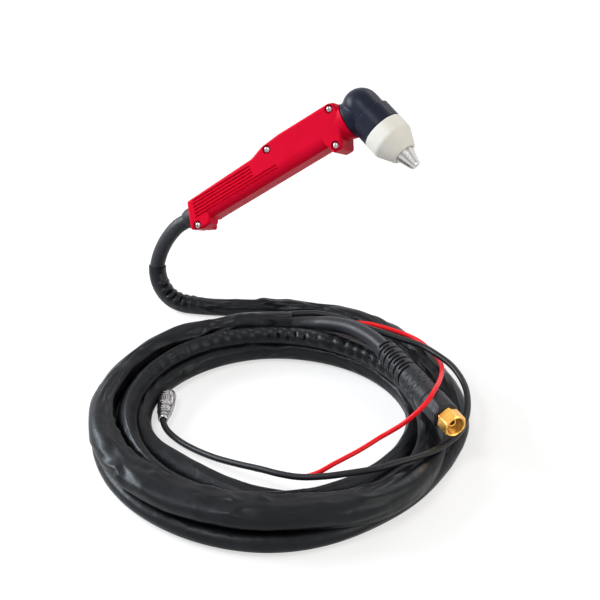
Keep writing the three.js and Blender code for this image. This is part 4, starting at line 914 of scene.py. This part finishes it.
def jacket_section(s, loops, bent, shape):
    """How far the sleeve reaches outward and upward at each angle, s mm along it."""
    outer, inner, rise, fall, ridge, pleat, folds, tilt, crest, flap = shape
    here = 0.55 + 0.45 * cloud(s / 60, 5, 5)
    hang = ramp(loops, 3.21, 3.29) * (1 - ramp(loops, 3.41, 3.47))
    spread = np.linspace(0, 2 * math.pi, JACKET_SIDES, endpoint=False)
    section = []
    for a in spread + 0.22 * np.sin(spread) - math.pi / 2:
        c, d = -math.cos(a), math.sin(a)
        power = SECTION_POWER + HANGING_POWER * hang * ramp(c, 0, 0.4) * ramp(-d, -0.2, 0.2)
        wide = outer if c > 0 else inner
        tall = rise if d > 0 else fall
        reach = ((abs(c) / wide) ** power + (abs(d) / tall) ** power) ** (-1 / power)
        x, y = c * reach, d * reach
        x *= 1 - 0.75 * ridge * max(0.0, y / tall) ** 1.2
        if x > 0 and y > 0:
            y *= 1 - tilt * min(1.0, x / wide) ** 0.7
        turn = a + math.pi / 2
        turn -= 2 * math.pi * (turn > math.pi)
        bump = (folds * folds_at(s, c, d, turn) * ramp(d, -0.7, 0.3) * here * 1.3
                + pleat * pleats_at(s, c, d) + squeeze_at(s, c, d, bent) + crest_at(s, c, d, crest)
                + lip_at(s, c, d, flap))
        scale = 1 + bump / max(3.0, math.hypot(x, y))
        section.append((x * scale, max(y * scale, -fall)))
    return section


def bend_share(place, loops):
    """1 inside the tight bend under the handle, 0 along the coil."""
    return ramp(-100 - place[2], 0, 8) * ramp(-46 - place[0], 0, 12) * (loops < 0)


def tucked(rings, end, inward):
    """Turns the cloth in at one end: a lip, then a wall that runs into the sleeve."""
    hub = rings[end].mean(0)
    lip = hub + (rings[end] - hub) * 0.90 + inward * 0.3
    deep = hub + (rings[end] - hub) * 0.86 + inward * 9
    return np.vstack([[deep, lip], rings]) if end == 0 else np.vstack([rings, [lip, deep]])


def jacket():
    """Sleeve of coated cloth, wider than what it holds: it sags, folds and gathers on its way round."""
    middle, loops, run = jacket_line(JACKET_STEP)
    table = np.array(JACKET_SHAPE)
    columns = [np.interp(loops, table[:, 0], table[:, k]) for k in range(1, table.shape[1])]
    shift, lift, *shape = [softly(column, JACKET_BLUR) for column in columns]
    tangent = np.gradient(middle, axis=0)
    tangent /= np.linalg.norm(tangent, axis=1)[:, None]
    side = carried(tangent)
    up = np.cross(tangent, side)
    up *= np.sign(up[len(up) // 2, 2])
    path = middle + side * shift[:, None] + np.array([0, 0, 1.0]) * lift[:, None]
    rings = []
    for i, centre in enumerate(path):
        bent = bend_share(middle[i], loops[i])
        section = jacket_section(float(run[i]), loops[i], bent, [row[i] for row in shape])
        rings.append([centre + side[i] * x + up[i] * y for x, y in section])
    rings = tucked(tucked(np.array(rings), 0, tangent[0]), -1, -tangent[-1])
    run = np.r_[run[0] - 10, run[0] - 1, run, run[-1] + 1, run[-1] + 10]
    return skin("jacket", rings, LEATHER, run=run, crease=80), path


# ------------------------------------------------------------------ cords in place
hose_torch, hose_torch_path = sheathed("hose_torch", HOSE_ROUTE, HOSE_RADIUS, 36, HOSE, 3)
hose_end, hose_end_path = sheathed("hose_connector", TAIL_ROUTE, HOSE_RADIUS, 36, HOSE, 5)
cable, cable_path = sheathed("cable", CABLE_ROUTE, CABLE_RADIUS, 20, CABLE, 7)
wire, wire_path = sheathed("wire", WIRE_ROUTE, WIRE_RADIUS, 18, WIRE, 9)
jacket_piece, jacket_path = jacket()

fitted(hose_torch, "torch", "hose_rubber", "hose_torch_stretch")
fitted(jacket_piece, "torch", "jacket_leather", "jacket_coil")
fitted(hose_end, "torch", "hose_rubber", "hose_connector_stretch")
fitted(cable, "torch", "cable_black", "control_cable")
fitted(wire, "torch", "wire_red", "pilot_wire")


def declare(piece, path):
    length_of(path) * MM


declare(hose_torch, hose_torch_path)
declare(jacket_piece, jacket_path)

# ------------------------------------------------------------------ handle
HANDLE_LENGTH, HALF_WIDTH, HANDLE_WALL, HANDLE_EDGE = 170.0, 15.0, 2.4, 2.6
GRIP_DEPTH, HEAD_RISE, LUG_DEPTH, REAR_LUG_DEPTH = 24.5, 9.7, 32.8, 30.2
HOSE_AXIS, FRONT_AXIS, FRONT_RADIUS, FRONT_END = -11.6, -10.4, 17.0, 171.6
SCREWS = [(163.6, 4.4), (93.9, 2.4), (154.6, -27.6), (0.6, -25)]
SCREW_RECESS, SCREW_HEAD, SCREW_HOLE, RECESS_RADIUS, SCREW_POST = 2.6, 2.9, 1.6, 4.1, 5.3
NECK_RADIUS, NECK_HEIGHT, NECK_BORE, BUSH_RADIUS, BUSH_TO = 8.4, -6.6, 4.6, 9.5, 6.0
BUTTON_FRONT, BUTTON_LENGTH, BUTTON_WIDTH, BUTTON_TOP, BUTTON_FOOT = 135.0, 25.0, 12.6, 11.4, 2.62
BUTTON_RIBS, RIB_PITCH, RIB_WIDTH = 6, 2.6, 1.1
GROOVE_ENDS = [72, 72, 72, 72, 96, 96]
GROOVE_FIRST, GROOVE_PITCH, GROOVE_HALF, GROOVE_DEPTH = 2.6, 3, 0.8, 1.3
BELLY_DEPTH, BELLY_REACH, BELLY_FROM, BELLY_TO = 10.5, 6.6, 15, 146.5
OUTLINE = [
    (0, 0), (76, 2.8), (90, 7.6), (109, 9.4), (164, HEAD_RISE), (HANDLE_LENGTH, 7.7), (HANDLE_LENGTH, -6.3),
    (168, -12), (163, -23.8), (159, -LUG_DEPTH), (150, -LUG_DEPTH), (147, -GRIP_DEPTH), (16, -GRIP_DEPTH),
    (12.5, -29.6), (3, -REAR_LUG_DEPTH), (-8, -25.5),
]
CORNERS = [3, 16, 14, 20, 6, 3, 4, 4, 4, 3.2, 3.2, 3.5, 4, 3.5, 5, 3]
# planes that part the flanks before they are cut
SCORES_U, SCORES_V = [-4, 20, 40, 60, 80, 110, 122, 134], [-11]


def shrunk(outline, by):
    """A clockwise outline moved in by a wall."""
    pts = np.array(outline, float)
    after, before = edge_ways(pts)
    turn = np.stack([after[:, 1], -after[:, 0]], 1) + np.stack([before[:, 1], -before[:, 0]], 1)
    return pts + turn * (by / (1 + (after * before).sum(1)))[:, None]


def rod(radius, low, high, where, sides=64, chamfer=0.0):
    profile = [(0, low), (radius, low), (radius, high - chamfer), (radius + chamfer, high), (0, high)]
    return turned("cutter", profile, RED, where, sides)


def on_face(u, v):
    """Local z points out of the near flank at a place on the handle."""
    return within(TORCH, (u, v, 0), (0, 0, 1), (0, 1, 0))


# local x is w, local y is v and local z is u
ACROSS = within(TORCH, (0, 0, 0), (1, 0, 0), (0, 1, 0)) @ Matrix.Scale(-1, 4, (1, 0, 0))


def belly(side, grow=0.0):
    """What the rounded lower flank leaves off the handle's corner."""
    arc = [(HALF_WIDTH - grow - BELLY_REACH * (1 - math.cos(a)),
            -GRIP_DEPTH + grow + BELLY_DEPTH * (1 - math.sin(a))) for a in np.linspace(0, math.pi / 2, 14)]
    wide, deep = HALF_WIDTH + 6, -GRIP_DEPTH - 4
    section = [(side * w, v) for w, v in [(wide, arc[0][1]), *arc, (arc[-1][0], deep), (wide, deep)]]
    return prism("cutter", section, BELLY_FROM + grow, BELLY_TO - grow, RED, ACROSS)


def groove(index, side):
    v, start, end = -GROOVE_FIRST - GROOVE_PITCH * index, 6 - 0.8 * index, GROOVE_ENDS[index]
    low, high = v - GROOVE_HALF, v + GROOVE_HALF
    outline = eased([(start, low), (end, low), (end, high), (start, high)], 0.6, 3, closed=True)
    inner, outer = sorted((side * (HALF_WIDTH - GROOVE_DEPTH), side * (HALF_WIDTH + 1.4)))
    return prism("cutter", outline, inner, outer, RED, TORCH, edge=0.25, steps=2)


def screw_posts(full):
    """Joins the posts that the screws run through, kept inside the handle's outline."""
    rim = eased(shrunk(OUTLINE, 0.6), CORNERS, 5, closed=True)
    for u, v in SCREWS:
        post = rod(SCREW_POST, -HALF_WIDTH + 1, HALF_WIDTH - 1, on_face(u, v), 40)
        full = join(full, common(post, prism("cutter", rim, -HALF_WIDTH, HALF_WIDTH, RED, TORCH)))
    return full


def handle_holes(side):
    holes = [rod(SCREW_HOLE, -HALF_WIDTH + 3, HALF_WIDTH + 1, on_face(u, v), 24) for u, v in SCREWS]
    if side > 0:
        recess = (RECESS_RADIUS, HALF_WIDTH - SCREW_RECESS, HALF_WIDTH + 0.02)
        holes += [rod(*recess, on_face(u, v), 48, chamfer=0.35) for u, v in SCREWS]
    holes += [groove(i, side) for i in range(len(GROOVE_ENDS))]
    holes.append(rod(NECK_RADIUS + GAP, 140, 200, lengthways(NECK_HEIGHT)))
    holes.append(rod(BUSH_RADIUS + GAP, -30, BUSH_TO + PAST, lengthways(HOSE_AXIS)))
    holes.append(turned("cutter", head_profile(GAP), RED, HEAD, 72))
    holes.append(block((BUTTON_FRONT - BUTTON_LENGTH - GAP, 4, -BUTTON_WIDTH / 2 - GAP),
                       (BUTTON_FRONT + GAP, HEAD_RISE + PAST, BUTTON_WIDTH / 2 + GAP), TORCH))
    return holes


def handle_half(name, side):
    split = side * GAP / 2
    form = eased(OUTLINE, CORNERS, 5, closed=True)
    full = prism(name, form, -HALF_WIDTH, HALF_WIDTH, RED, TORCH, edge=HANDLE_EDGE, steps=6)
    scored(full, TORCH, [u for u, v in SCREWS] + SCORES_U, [v for u, v in SCREWS] + SCORES_V)
    front = turned("cutter", [(0, 150), (12, 150), (15.2, 163), (FRONT_RADIUS, FRONT_END - 1.5),
                              (FRONT_RADIUS, FRONT_END), (0, FRONT_END)], RED, lengthways(FRONT_AXIS), 72)
    cuts = [belly(side)]
    if side < 0:  # the far side of the rear lug slants off behind and ends early in front
        cuts.append(prism("cutter", [(-15, -21), (5.7, -35), (-30, -35), (-30, -10.8)], -33, 17, RED, ACROSS))
        cuts.append(block((6.5, -32, -HALF_WIDTH - 1), (17.5, -GRIP_DEPTH - 0.1, -1.2), TORCH))
    full = join(cut(full, *cuts), front)
    radii = [max(0.8, r - HANDLE_WALL) for r in CORNERS]
    inside = eased(shrunk(OUTLINE, HANDLE_WALL), radii, 4, closed=True)
    room = prism("cutter", inside, -HALF_WIDTH + HANDLE_WALL, HALF_WIDTH - HANDLE_WALL, RED, TORCH)
    full = cut(full, cut(room, belly(side, HANDLE_WALL)))
    full = cut(screw_posts(full), *handle_holes(side))
    keep = block((-60, -80, min(split, side * 60)), (230, 60, max(split, side * 60)), TORCH)
    full = common(full, keep)
    if side < 0:  # the switch shelf belongs to the far half
        full = join(full, block((110.5, -8.1, -HALF_WIDTH + 1), (134.5, -6.5, 5), TORCH))
    full.name = full.data.name = name
    full.data.materials.clear()
    full.data.materials.append(RED)
    return levelled(full, 32)


HEAD_RADIUS, HEAD_TOP, HEAD_BORE, COLLAR_RADIUS, COLLAR_LENGTH = 17.6, 46.5, 8.9, 19.8, 17.4


def head_profile(grow, collar=True):
    """The head above the cup, as (radius, place) along its axis."""
    dome_foot, reach = HEAD_TOP - HEAD_RADIUS, HEAD_RADIUS + grow
    turns = np.linspace(0, math.pi / 2, 20)
    dome = [(reach * math.sin(a), -dome_foot - reach * math.cos(a)) for a in turns]
    if not collar:
        return dome + [(reach, -2.0), (0, -2.0)]
    rim = COLLAR_RADIUS + grow
    step = -COLLAR_LENGTH - grow
    return dome + [(reach, step), (rim - 0.7, step + 0.1), (rim, step + 0.9), (rim, grow - 0.5),
                   (rim - 0.5, grow), (0, grow)]


def blended(made, voxel, passes):
    """Melts joined bodies into one skin with soft inside corners."""
    melt = made.modifiers.new("melt", "REMESH")
    melt.mode, melt.voxel_size, melt.use_smooth_shade = "VOXEL", voxel * MM, True
    calm = made.modifiers.new("calm", "SMOOTH")
    calm.factor, calm.iterations = 0.5, passes
    graph = bpy.context.evaluated_depsgraph_get()
    mesh = bpy.data.meshes.new_from_object(made.evaluated_get(graph), depsgraph=graph)
    made.modifiers.clear()
    made.data = mesh
    return made


def head():
    """Dome and stub melted together, then the collar, the cup's seat, the neck and the bores."""
    stub_end = HEAD_FOOT[0] - (-HEAD_FOOT[1] + FRONT_AXIS) * math.tan(HEAD_TURN) + 0.5
    made = turned("head", head_profile(0, collar=False), HEAD_BLACK, HEAD, 96)
    stub = turned("cutter", [(0, FRONT_END + GAP), (16.3, FRONT_END + GAP), (16.8, FRONT_END + 0.8),
                             (16.2, stub_end), (0, stub_end)], HEAD_BLACK, lengthways(FRONT_AXIS), 96)
    made = blended(join(made, stub), 0.55, 10)
    collar = turned("cutter", [
        (0, -COLLAR_LENGTH), (COLLAR_RADIUS - 0.8, -COLLAR_LENGTH), (COLLAR_RADIUS, -COLLAR_LENGTH + 0.8),
        (COLLAR_RADIUS, -0.6), (COLLAR_RADIUS - 0.6, 0), (14.2, 0), (14.2, 4.8), (12.9, 4.8), (12.9, 6.4),
        (14.2, 6.4), (14.2, 8), (0, 8),
    ], HEAD_BLACK, HEAD, 128)
    neck = rod(NECK_RADIUS, 156, 190, lengthways(NECK_HEIGHT), 64)
    made = join(made, collar, neck)
    made = cut(made, rod(HEAD_BORE, -34.3, 12, HEAD, 64),
               rod(NECK_BORE, 150, 188, lengthways(NECK_HEIGHT), 40))
    made.data.materials.clear()
    made.data.materials.append(HEAD_BLACK)
    shade(made, 40)
    return made


def screw_tree():
    """Sets one screw at every point, each turned by its own amount."""
    tree, given = open_tree("screw_set", "Screws", Places=("Geometry", None), Screw=("Object", None),
                            Axis=("Vector", None), Seed=("Int", 4), Finish=("Material", None))
    one = add_node(tree, "GeometryNodeObjectInfo", {"Object": given["Screw"]})
    chance = add_node(tree, "FunctionNodeRandomValue", {3: 6.283, "Seed": given["Seed"]})
    turn = add_node(tree, "FunctionNodeAxisAngleToRotation", {"Axis": given["Axis"],
                                                              "Angle": chance.outputs[1]})
    put = add_node(tree, "GeometryNodeInstanceOnPoints", {
        "Points": given["Places"], "Instance": one.outputs["Geometry"], "Rotation": turn.outputs["Rotation"]})
    return close_tree(tree, "Screws", put.outputs["Instances"], given["Finish"])


def screws():
    seat = HALF_WIDTH - SCREW_RECESS + GAP
    upright = within(TORCH, (0, 0, 0), (0, 0, 1), (0, 1, 0))
    one = turned("screw", [(0, -14), (1.0, -14), (1.3, -13), (1.3, 0), (SCREW_HEAD, 0), (SCREW_HEAD, 0.8),
                           (2.6, 1.35), (2.1, 1.75), (1.1, 2.0), (0, 2.05)], STEEL, upright, 40)
    slots = [eased([(-a, -b), (a, -b), (a, b), (-a, b)], 0.2, 2, closed=True)
             for a, b in ((1.9, 0.42), (0.42, 1.9))]
    one = cut(one, *[prism("cutter", slot, 0.95, 3, STEEL, upright) for slot in slots])
    one.data.transform(Matrix.Translation(-(TORCH @ Vector((0, 0, 0)))))
    places = bpy.data.meshes.new("places")
    places.from_pydata([tuple(TORCH @ Vector((u, v, seat))) for u, v in SCREWS], [], [])
    base = bpy.data.objects.new("places", places)
    bpy.context.scene.collection.objects.link(base)
    made = grown("handle_screws", base, screw_tree(), Screw=one, Axis=tuple(W), Seed=4, Finish=STEEL)
    bpy.data.objects.remove(one)
    shade(made, 35)
    return made


def button():
    rear, top = BUTTON_FRONT - BUTTON_LENGTH, BUTTON_TOP
    side = eased([(rear, BUTTON_FOOT), (BUTTON_FRONT, BUTTON_FOOT), (BUTTON_FRONT, top - 0.5),
                  (BUTTON_FRONT - 1.6, top), (rear + 1.6, top), (rear, top - 0.5)],
                 [0, 0, 1, 1.6, 1.6, 1], 4, closed=True)
    made = prism("trigger", side, -BUTTON_WIDTH / 2, BUTTON_WIDTH / 2, BUTTON, TORCH, edge=0.9, steps=4)
    ribs = []
    for i in range(BUTTON_RIBS):
        start = rear + 6 + RIB_PITCH * i
        ribs.append(block((start, top - 0.5, -4.2), (start + RIB_WIDTH, top + 2, 4.2), TORCH))
    scored(made, TORCH, [], [], [0])
    flange = block((rear - 1.5, 4.62, -BUTTON_WIDTH / 2 - 1.5),
                   (BUTTON_FRONT + 1.5, 6.62, BUTTON_WIDTH / 2 + 1.5), TORCH)
    made = join(cut(made, *ribs), flange)
    made.data.materials.clear()
    made.data.materials.append(BUTTON)
    return levelled(made, 35)


fitted(handle_half("handle_near", 1), "torch", "red_plastic", "handle_near_half")
fitted(handle_half("handle_far", -1), "torch", "red_plastic", "handle_far_half")
fitted(screws(), "torch", "steel", *[f"handle_screw_{i}" for i in (1, 2, 3, 4)])
fitted(button(), "trigger", "white_plastic", "trigger_button")
fitted(head(), "torch", "head_black", "head_insulator")

# ------------------------------------------------------------------ cup and nozzle
CUP_RADIUS, CUP_LENGTH, CUP_BORE, CUP_MOUTH = 20.0, 30.3, 17.2, 9.3
cup = turned("cup", [
    (CUP_BORE, 0.3), (19.5, 0.3), (CUP_RADIUS, 0.9), (19.9, 13.4), (19.5, 15.2), (18.6, 16.9), (12.6, 29.0),
    (11.8, 30.0), (11.2, CUP_LENGTH), (9.8, CUP_LENGTH), (CUP_MOUTH, 29.9), (CUP_MOUTH, 26.8), (11.7, 26.8),
    (12.1, 23.8), (CUP_BORE, 13.9),
], CERAMIC, HEAD, 128, tube=True, ease=0.5)
fitted(cup, "cup", "ceramic", "shield_cup")


def fluted(name, profile, material, where, sides, depth, count, low, high):
    """A turned tube whose outer wall carries shallow axial flutes between two heights."""
    made = turned(name, profile, material, where, sides, tube=True)
    back = where.inverted()
    for vertex in made.data.vertices:
        local = back @ vertex.co
        radius = math.hypot(local.x, local.y)
        if low <= local.z <= high and radius > 4.0:
            angle = math.atan2(local.y, local.x) * count / 2
            take = depth * abs(math.cos(angle)) * min(1, (local.z - low) / 1.5, (high - local.z) / 1.5)
            local.x *= 1 - take / radius
            local.y *= 1 - take / radius
            vertex.co = where @ local
    return made


nozzle = fluted("nozzle", [
    (6.1, 20.2), (11, 20.2), (11, 26.5), (9, 26.5), (9, 31.9), (8.8, 32.6), (8.4, 33.6), (7.8, 35.4),
    (7.2, 37.3), (6.6, 39.2), (6.0, 41.1), (5.4, 42.9), (5.0, 44.2), (4.7, 45.0), (4.2, 45.5), (1.6, 45.5),
    (0.7, 45.1), (0.7, 38.5), (3.8, 29.0), (6.1, 23.0),
], NICKEL, HEAD, 160, FLUTE_DEPTH, FLUTES, 26.6, 44.9)
fitted(nozzle, "torch", "plated_copper", "nozzle_tip")

bush = turned("rear_bush_cover", [
    (7.3, -14), (8.2, -14), (8.4, -13.6), (9.0, -11.5), (9.4, -10), (BUSH_RADIUS, -9), (BUSH_RADIUS, BUSH_TO),
    (7.3, BUSH_TO),
], BOOT, lengthways(HOSE_AXIS), 64, tube=True)
fitted(bush, "torch", "boot_rubber", "rear_bush")

# ------------------------------------------------------------------ connector
BOOT_LENGTH, BOOT_RADIUS, BOOT_NECK, BOOT_TAPER = 80.0, 11.3, 9.8, 34
SLOTS, SLOT_FIRST, SLOT_PITCH, SLOT_DEPTH, SLOT_HALF = 10, 3.5, 4.4, 2.3, 1.15
DASH_ROWS, DASH_FIRST, DASH_PITCH, DASH_RISE, DASH_HALF, DASHES_ROUND = 5, 50.0, 4.2, 0.5, 0.6, 10
NUT_BACK, NUT_FRONT, NUT_BORE, NUT_FLATS, NUT_CORNER, THREAD_PITCH = 104.6, 118.6, 7.7, 9.3, 10.5, 1.35
NUT_SIDES = 192


def nearest_row(z, first, pitch, rows):
    """Number of the row that a height belongs to and its distance from that row's middle."""
    row = (z - first) / pitch
    index = math.floor(row + 0.5)
    return (index, abs(row - index) * pitch) if 0 <= index < rows else (0, pitch)


def slot_depth(a, z):
    """Slots on two opposite sides, a quarter turn on from row to row."""
    index, across = nearest_row(z + 0.5 * math.sin(a), SLOT_FIRST, SLOT_PITCH, SLOTS)
    turn = (a + (index % 2) * math.pi / 2 + 0.35) % math.pi
    reach = min(turn, math.pi - turn) * 10
    return SLOT_DEPTH * unit((SLOT_HALF - across) / 0.28) * unit((reach - 3.6) / 0.6)


def dash_rise(a, z):
    """Short raised dashes, half a step on from row to row."""
    index, across = nearest_row(z + 0.3 * math.sin(a), DASH_FIRST, DASH_PITCH, DASH_ROWS)
    cell = (a * DASHES_ROUND / (2 * math.pi) + 0.5 * (index % 2)) % 1
    return DASH_RISE * unit((DASH_HALF - across) / 0.25) * unit((0.30 - abs(cell - 0.5)) / 0.05)


def boot():
    """Rubber grip: staggered slots round its neck, then raised dashes, then a plain sleeve."""
    sides, inner = 144, HOSE_RADIUS + GAP
    places = np.r_[np.linspace(0, 1.0, 4), np.arange(1.3, 70, 0.28), np.arange(70, 79, 1.0),
                   np.linspace(79, BOOT_LENGTH, 5)]
    rings = []
    for z in places:
        body = BOOT_NECK + (BOOT_RADIUS - BOOT_NECK) * unit(z / BOOT_TAPER) ** 0.8
        body -= max(0.0, 0.9 - min(z, BOOT_LENGTH - z)) ** 2 * 0.9
        rings.append(circle(lambda a: body - slot_depth(a, z) + dash_rise(a, z), z, sides))
    rings += [circle(inner, z, sides) for z in (BOOT_LENGTH, 0.0)]
    return skin("boot", rings, BOOT, CONNECTOR, closed=True, crease=45)


def hexagon(limit=NUT_CORNER):
    """Radius at an angle of a hexagon with eased corners, kept under a limit."""
    def radius(angle):
        part = (angle + math.pi / 6) % (math.pi / 3) - math.pi / 6
        return min(NUT_FLATS / math.cos(part), NUT_CORNER, limit)
    return radius


def nut():
    """Hexagonal nut: chamfered ends, a threaded bore and a lip at the back; the faces inside the bore take a
    darker brass as painted shade.
    """
    back, front = NUT_BACK, NUT_FRONT
    rings = [circle(hexagon(9.3 + 1.4 * t), back + 0.75 * t, NUT_SIDES) for t in np.linspace(0, 1, 6)]
    rings += [circle(hexagon(), z, NUT_SIDES) for z in np.linspace(back + 1.2, front - 1.7, 12)]
    rings += [circle(hexagon(9.1 + 1.6 * t), front - 1.05 * t, NUT_SIDES) for t in np.linspace(1, 0, 8)]
    rings += [circle(8.8, front - 0.02, NUT_SIDES), circle(8.2, front - 0.4, NUT_SIDES)]
    for z in np.arange(front - 0.6, back + 3.4, -0.2):
        wave = 2 * math.pi * z / THREAD_PITCH
        rings.append(circle(lambda a: NUT_BORE + 0.30 * math.sin(wave + a), z, NUT_SIDES))
    for radius, rise in ((NUT_BORE, 2.2), (NUT_BORE - 0.3, 2.0), (5.3, 2.0), (5.0, 1.7), (5.0, 0)):
        rings.append(circle(radius, back + rise, NUT_SIDES))
    made = skin("nut", rings, BRASS, CONNECTOR, closed=True, crease=24)
    # the second finish is painted shade: faces inside the bore and its back lip get the darker brass
    made.data.materials.append(BORE_SHADE_BRASS)
    back_to = CONNECTOR.inverted()
    for face in made.data.polygons:
        middle = back_to @ face.center
        face.material_index = int(math.hypot(middle.x, middle.y) < NUT_BORE + 0.4 and middle.z < front - 0.5)
    return made


def eight_sided(made):
    """Presses eight flats into a grip's barrel."""
    back_to, half = CONNECTOR.inverted(), math.pi / 8
    for vertex in made.data.vertices:
        spot = back_to @ vertex.co
        turn = (math.atan2(spot.y, spot.x) + half) % (2 * half) - half
        size = math.hypot(spot.x, spot.y)
        if size > 10 and 83 < spot.z < 103.5:
            keep = min(1.0, 11.35 / math.cos(turn) / size)
            vertex.co = CONNECTOR @ Vector((spot.x * keep, spot.y * keep, spot.z))
    return made


connector_boot = fitted(boot(), "torch", "boot_rubber", "connector_boot")
connector_grip = fitted(eight_sided(turned("connector_grip", [
    (5.0, 80.3), (11.0, 80.3), (11.5, 80.6), (11.8, 81.4), (12.0, 82.2), (12.0, 88), (11.75, 88.4),
    (11.75, 89.2), (12.0, 89.6), (12.0, 101.6), (11.6, 103.2), (10.8, 104.1), (10.4, 104.3), (5.0, 104.3),
], BOOT, CONNECTOR, 96, tube=True)), "torch", "boot_rubber", "connector_body")
union_nut = fitted(nut(), "union_nut", "brass", "union_nut")
nipple = fitted(turned("nipple", [
    (2.0, 72), (4.7, 72), (4.7, 106.9), (7.0, 106.9), (7.0, 108.7), (5.2, 108.7), (4.7, 109.2),
    (4.4, 112.4), (3.9, 113.3), (3.2, 113.5), (2.4, 113.3), (2.0, 112.6),
], BRASS, CONNECTOR, 72, tube=True, ease=0.25), "torch", "brass", "connector_nipple")

# ------------------------------------------------------------------ plug, terminal, snap
clamp = fitted(turned("cable_clamp", [
    (3.05, 0), (4.0, 0), (4.5, 0.5), (4.7, 1.4), (4.5, 2.2), (4.1, 2.6), (4.1, 3.2), (4.9, 3.6), (5.2, 4.6),
    (4.9, 5.6), (4.5, 6.0), (4.5, 6.6), (5.7, 7.2), (6.0, 8.0), (5.8, 9.0), (3.05, 9.0),
], STEEL, PLUG, 48, tube=True), "torch", "steel", "plug_clamp")
shell = fitted(turned("plug_body", [
    (0, 9.3), (6.0, 9.3), (6.6, 9.9), (6.6, 11.0), (6.2, 11.4), (6.2, 12.0), (6.6, 12.4), (6.6, 13.8),
    (6.2, 14.3), (5.0, 14.3), (5.0, 26.0), (4.8, 26.3), (4.1, 26.3), (4.1, 12.3), (0, 12.3),
], STEEL, PLUG, 56), "torch", "steel", "plug_shell")


def knurled_ring():
    """Coupling ring of the plug: straight knurl between two plain bands."""
    sides, teeth, depth = 168, 28, 0.32
    foot = [(5.3, 14.6), (6.5, 14.6), (7.1, 15.0), (7.3, 15.7), (7.3, 17.2), (7.0, 17.6), (7.0, 18.0)]
    crown = [(7.0, 27.4), (7.0, 27.8), (7.4, 28.2), (7.4, 29.6), (7.0, 30.0), (7.0, 30.6), (7.45, 31.0),
             (7.45, 33.8), (7.1, 34.7), (6.6, 35), (6.3, 34.8), (6.3, 19), (5.3, 19)]
    rings = [circle(r, z, sides) for r, z in foot]
    for z in np.linspace(18.4, 27.0, 12):
        rings.append(circle(lambda a: 7.5 - depth * abs(math.sin(a * teeth / 2)) ** 2, z, sides))
    rings += [circle(r, z, sides) for r, z in crown]
    return skin("plug_coupling", rings, STEEL, PLUG, closed=True, crease=30)


coupling = fitted(knurled_ring(), "plug_ring", "steel", "plug_ring")
wire_end = Vector(WIRE_ROUTE[-1])
terminal_run = (Vector(TERMINAL_END) - wire_end).normalized()
TERMINAL = along_axis(wire_end + terminal_run * GAP, terminal_run)
terminal = fitted(turned("wire_terminal", [
    (0, 0), (2.1, 0), (2.3, 0.3), (2.3, 2.6), (2.05, 3.0), (2.3, 3.4), (2.3, 6.7), (1.95, 7.3), (1.8, 7.6),
    (1.8, 12.6), (1.4, 13.7), (0.9, 14), (0, 14),
], STEEL, TERMINAL, 40), "torch", "steel", "pilot_terminal")

declare(hose_end, hose_end_path)
declare(cable, cable_path)
declare(wire, wire_path)

for node, made in {
    "switch_plunger": BUTTON, "switch_body": GREY, "switch_wire": CABLE, "head_core": BRASS,
    "electrode": COPPER, "swirl_ring": SWIRL, "cup_insert": BRASS, "head_seal": CABLE, "hose_tail": HOSE,
    "hose_ferrule": STEEL, "hose_coupling": BRASS, "tube_nut": BRASS, "gas_tube": COPPER,
    "jacket_snap": STEEL, "plug_insert": GREY, "plug_pin_1": BRASS, "plug_pin_2": BRASS,
}.items():
    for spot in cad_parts[node].material_slots:
        spot.material = made
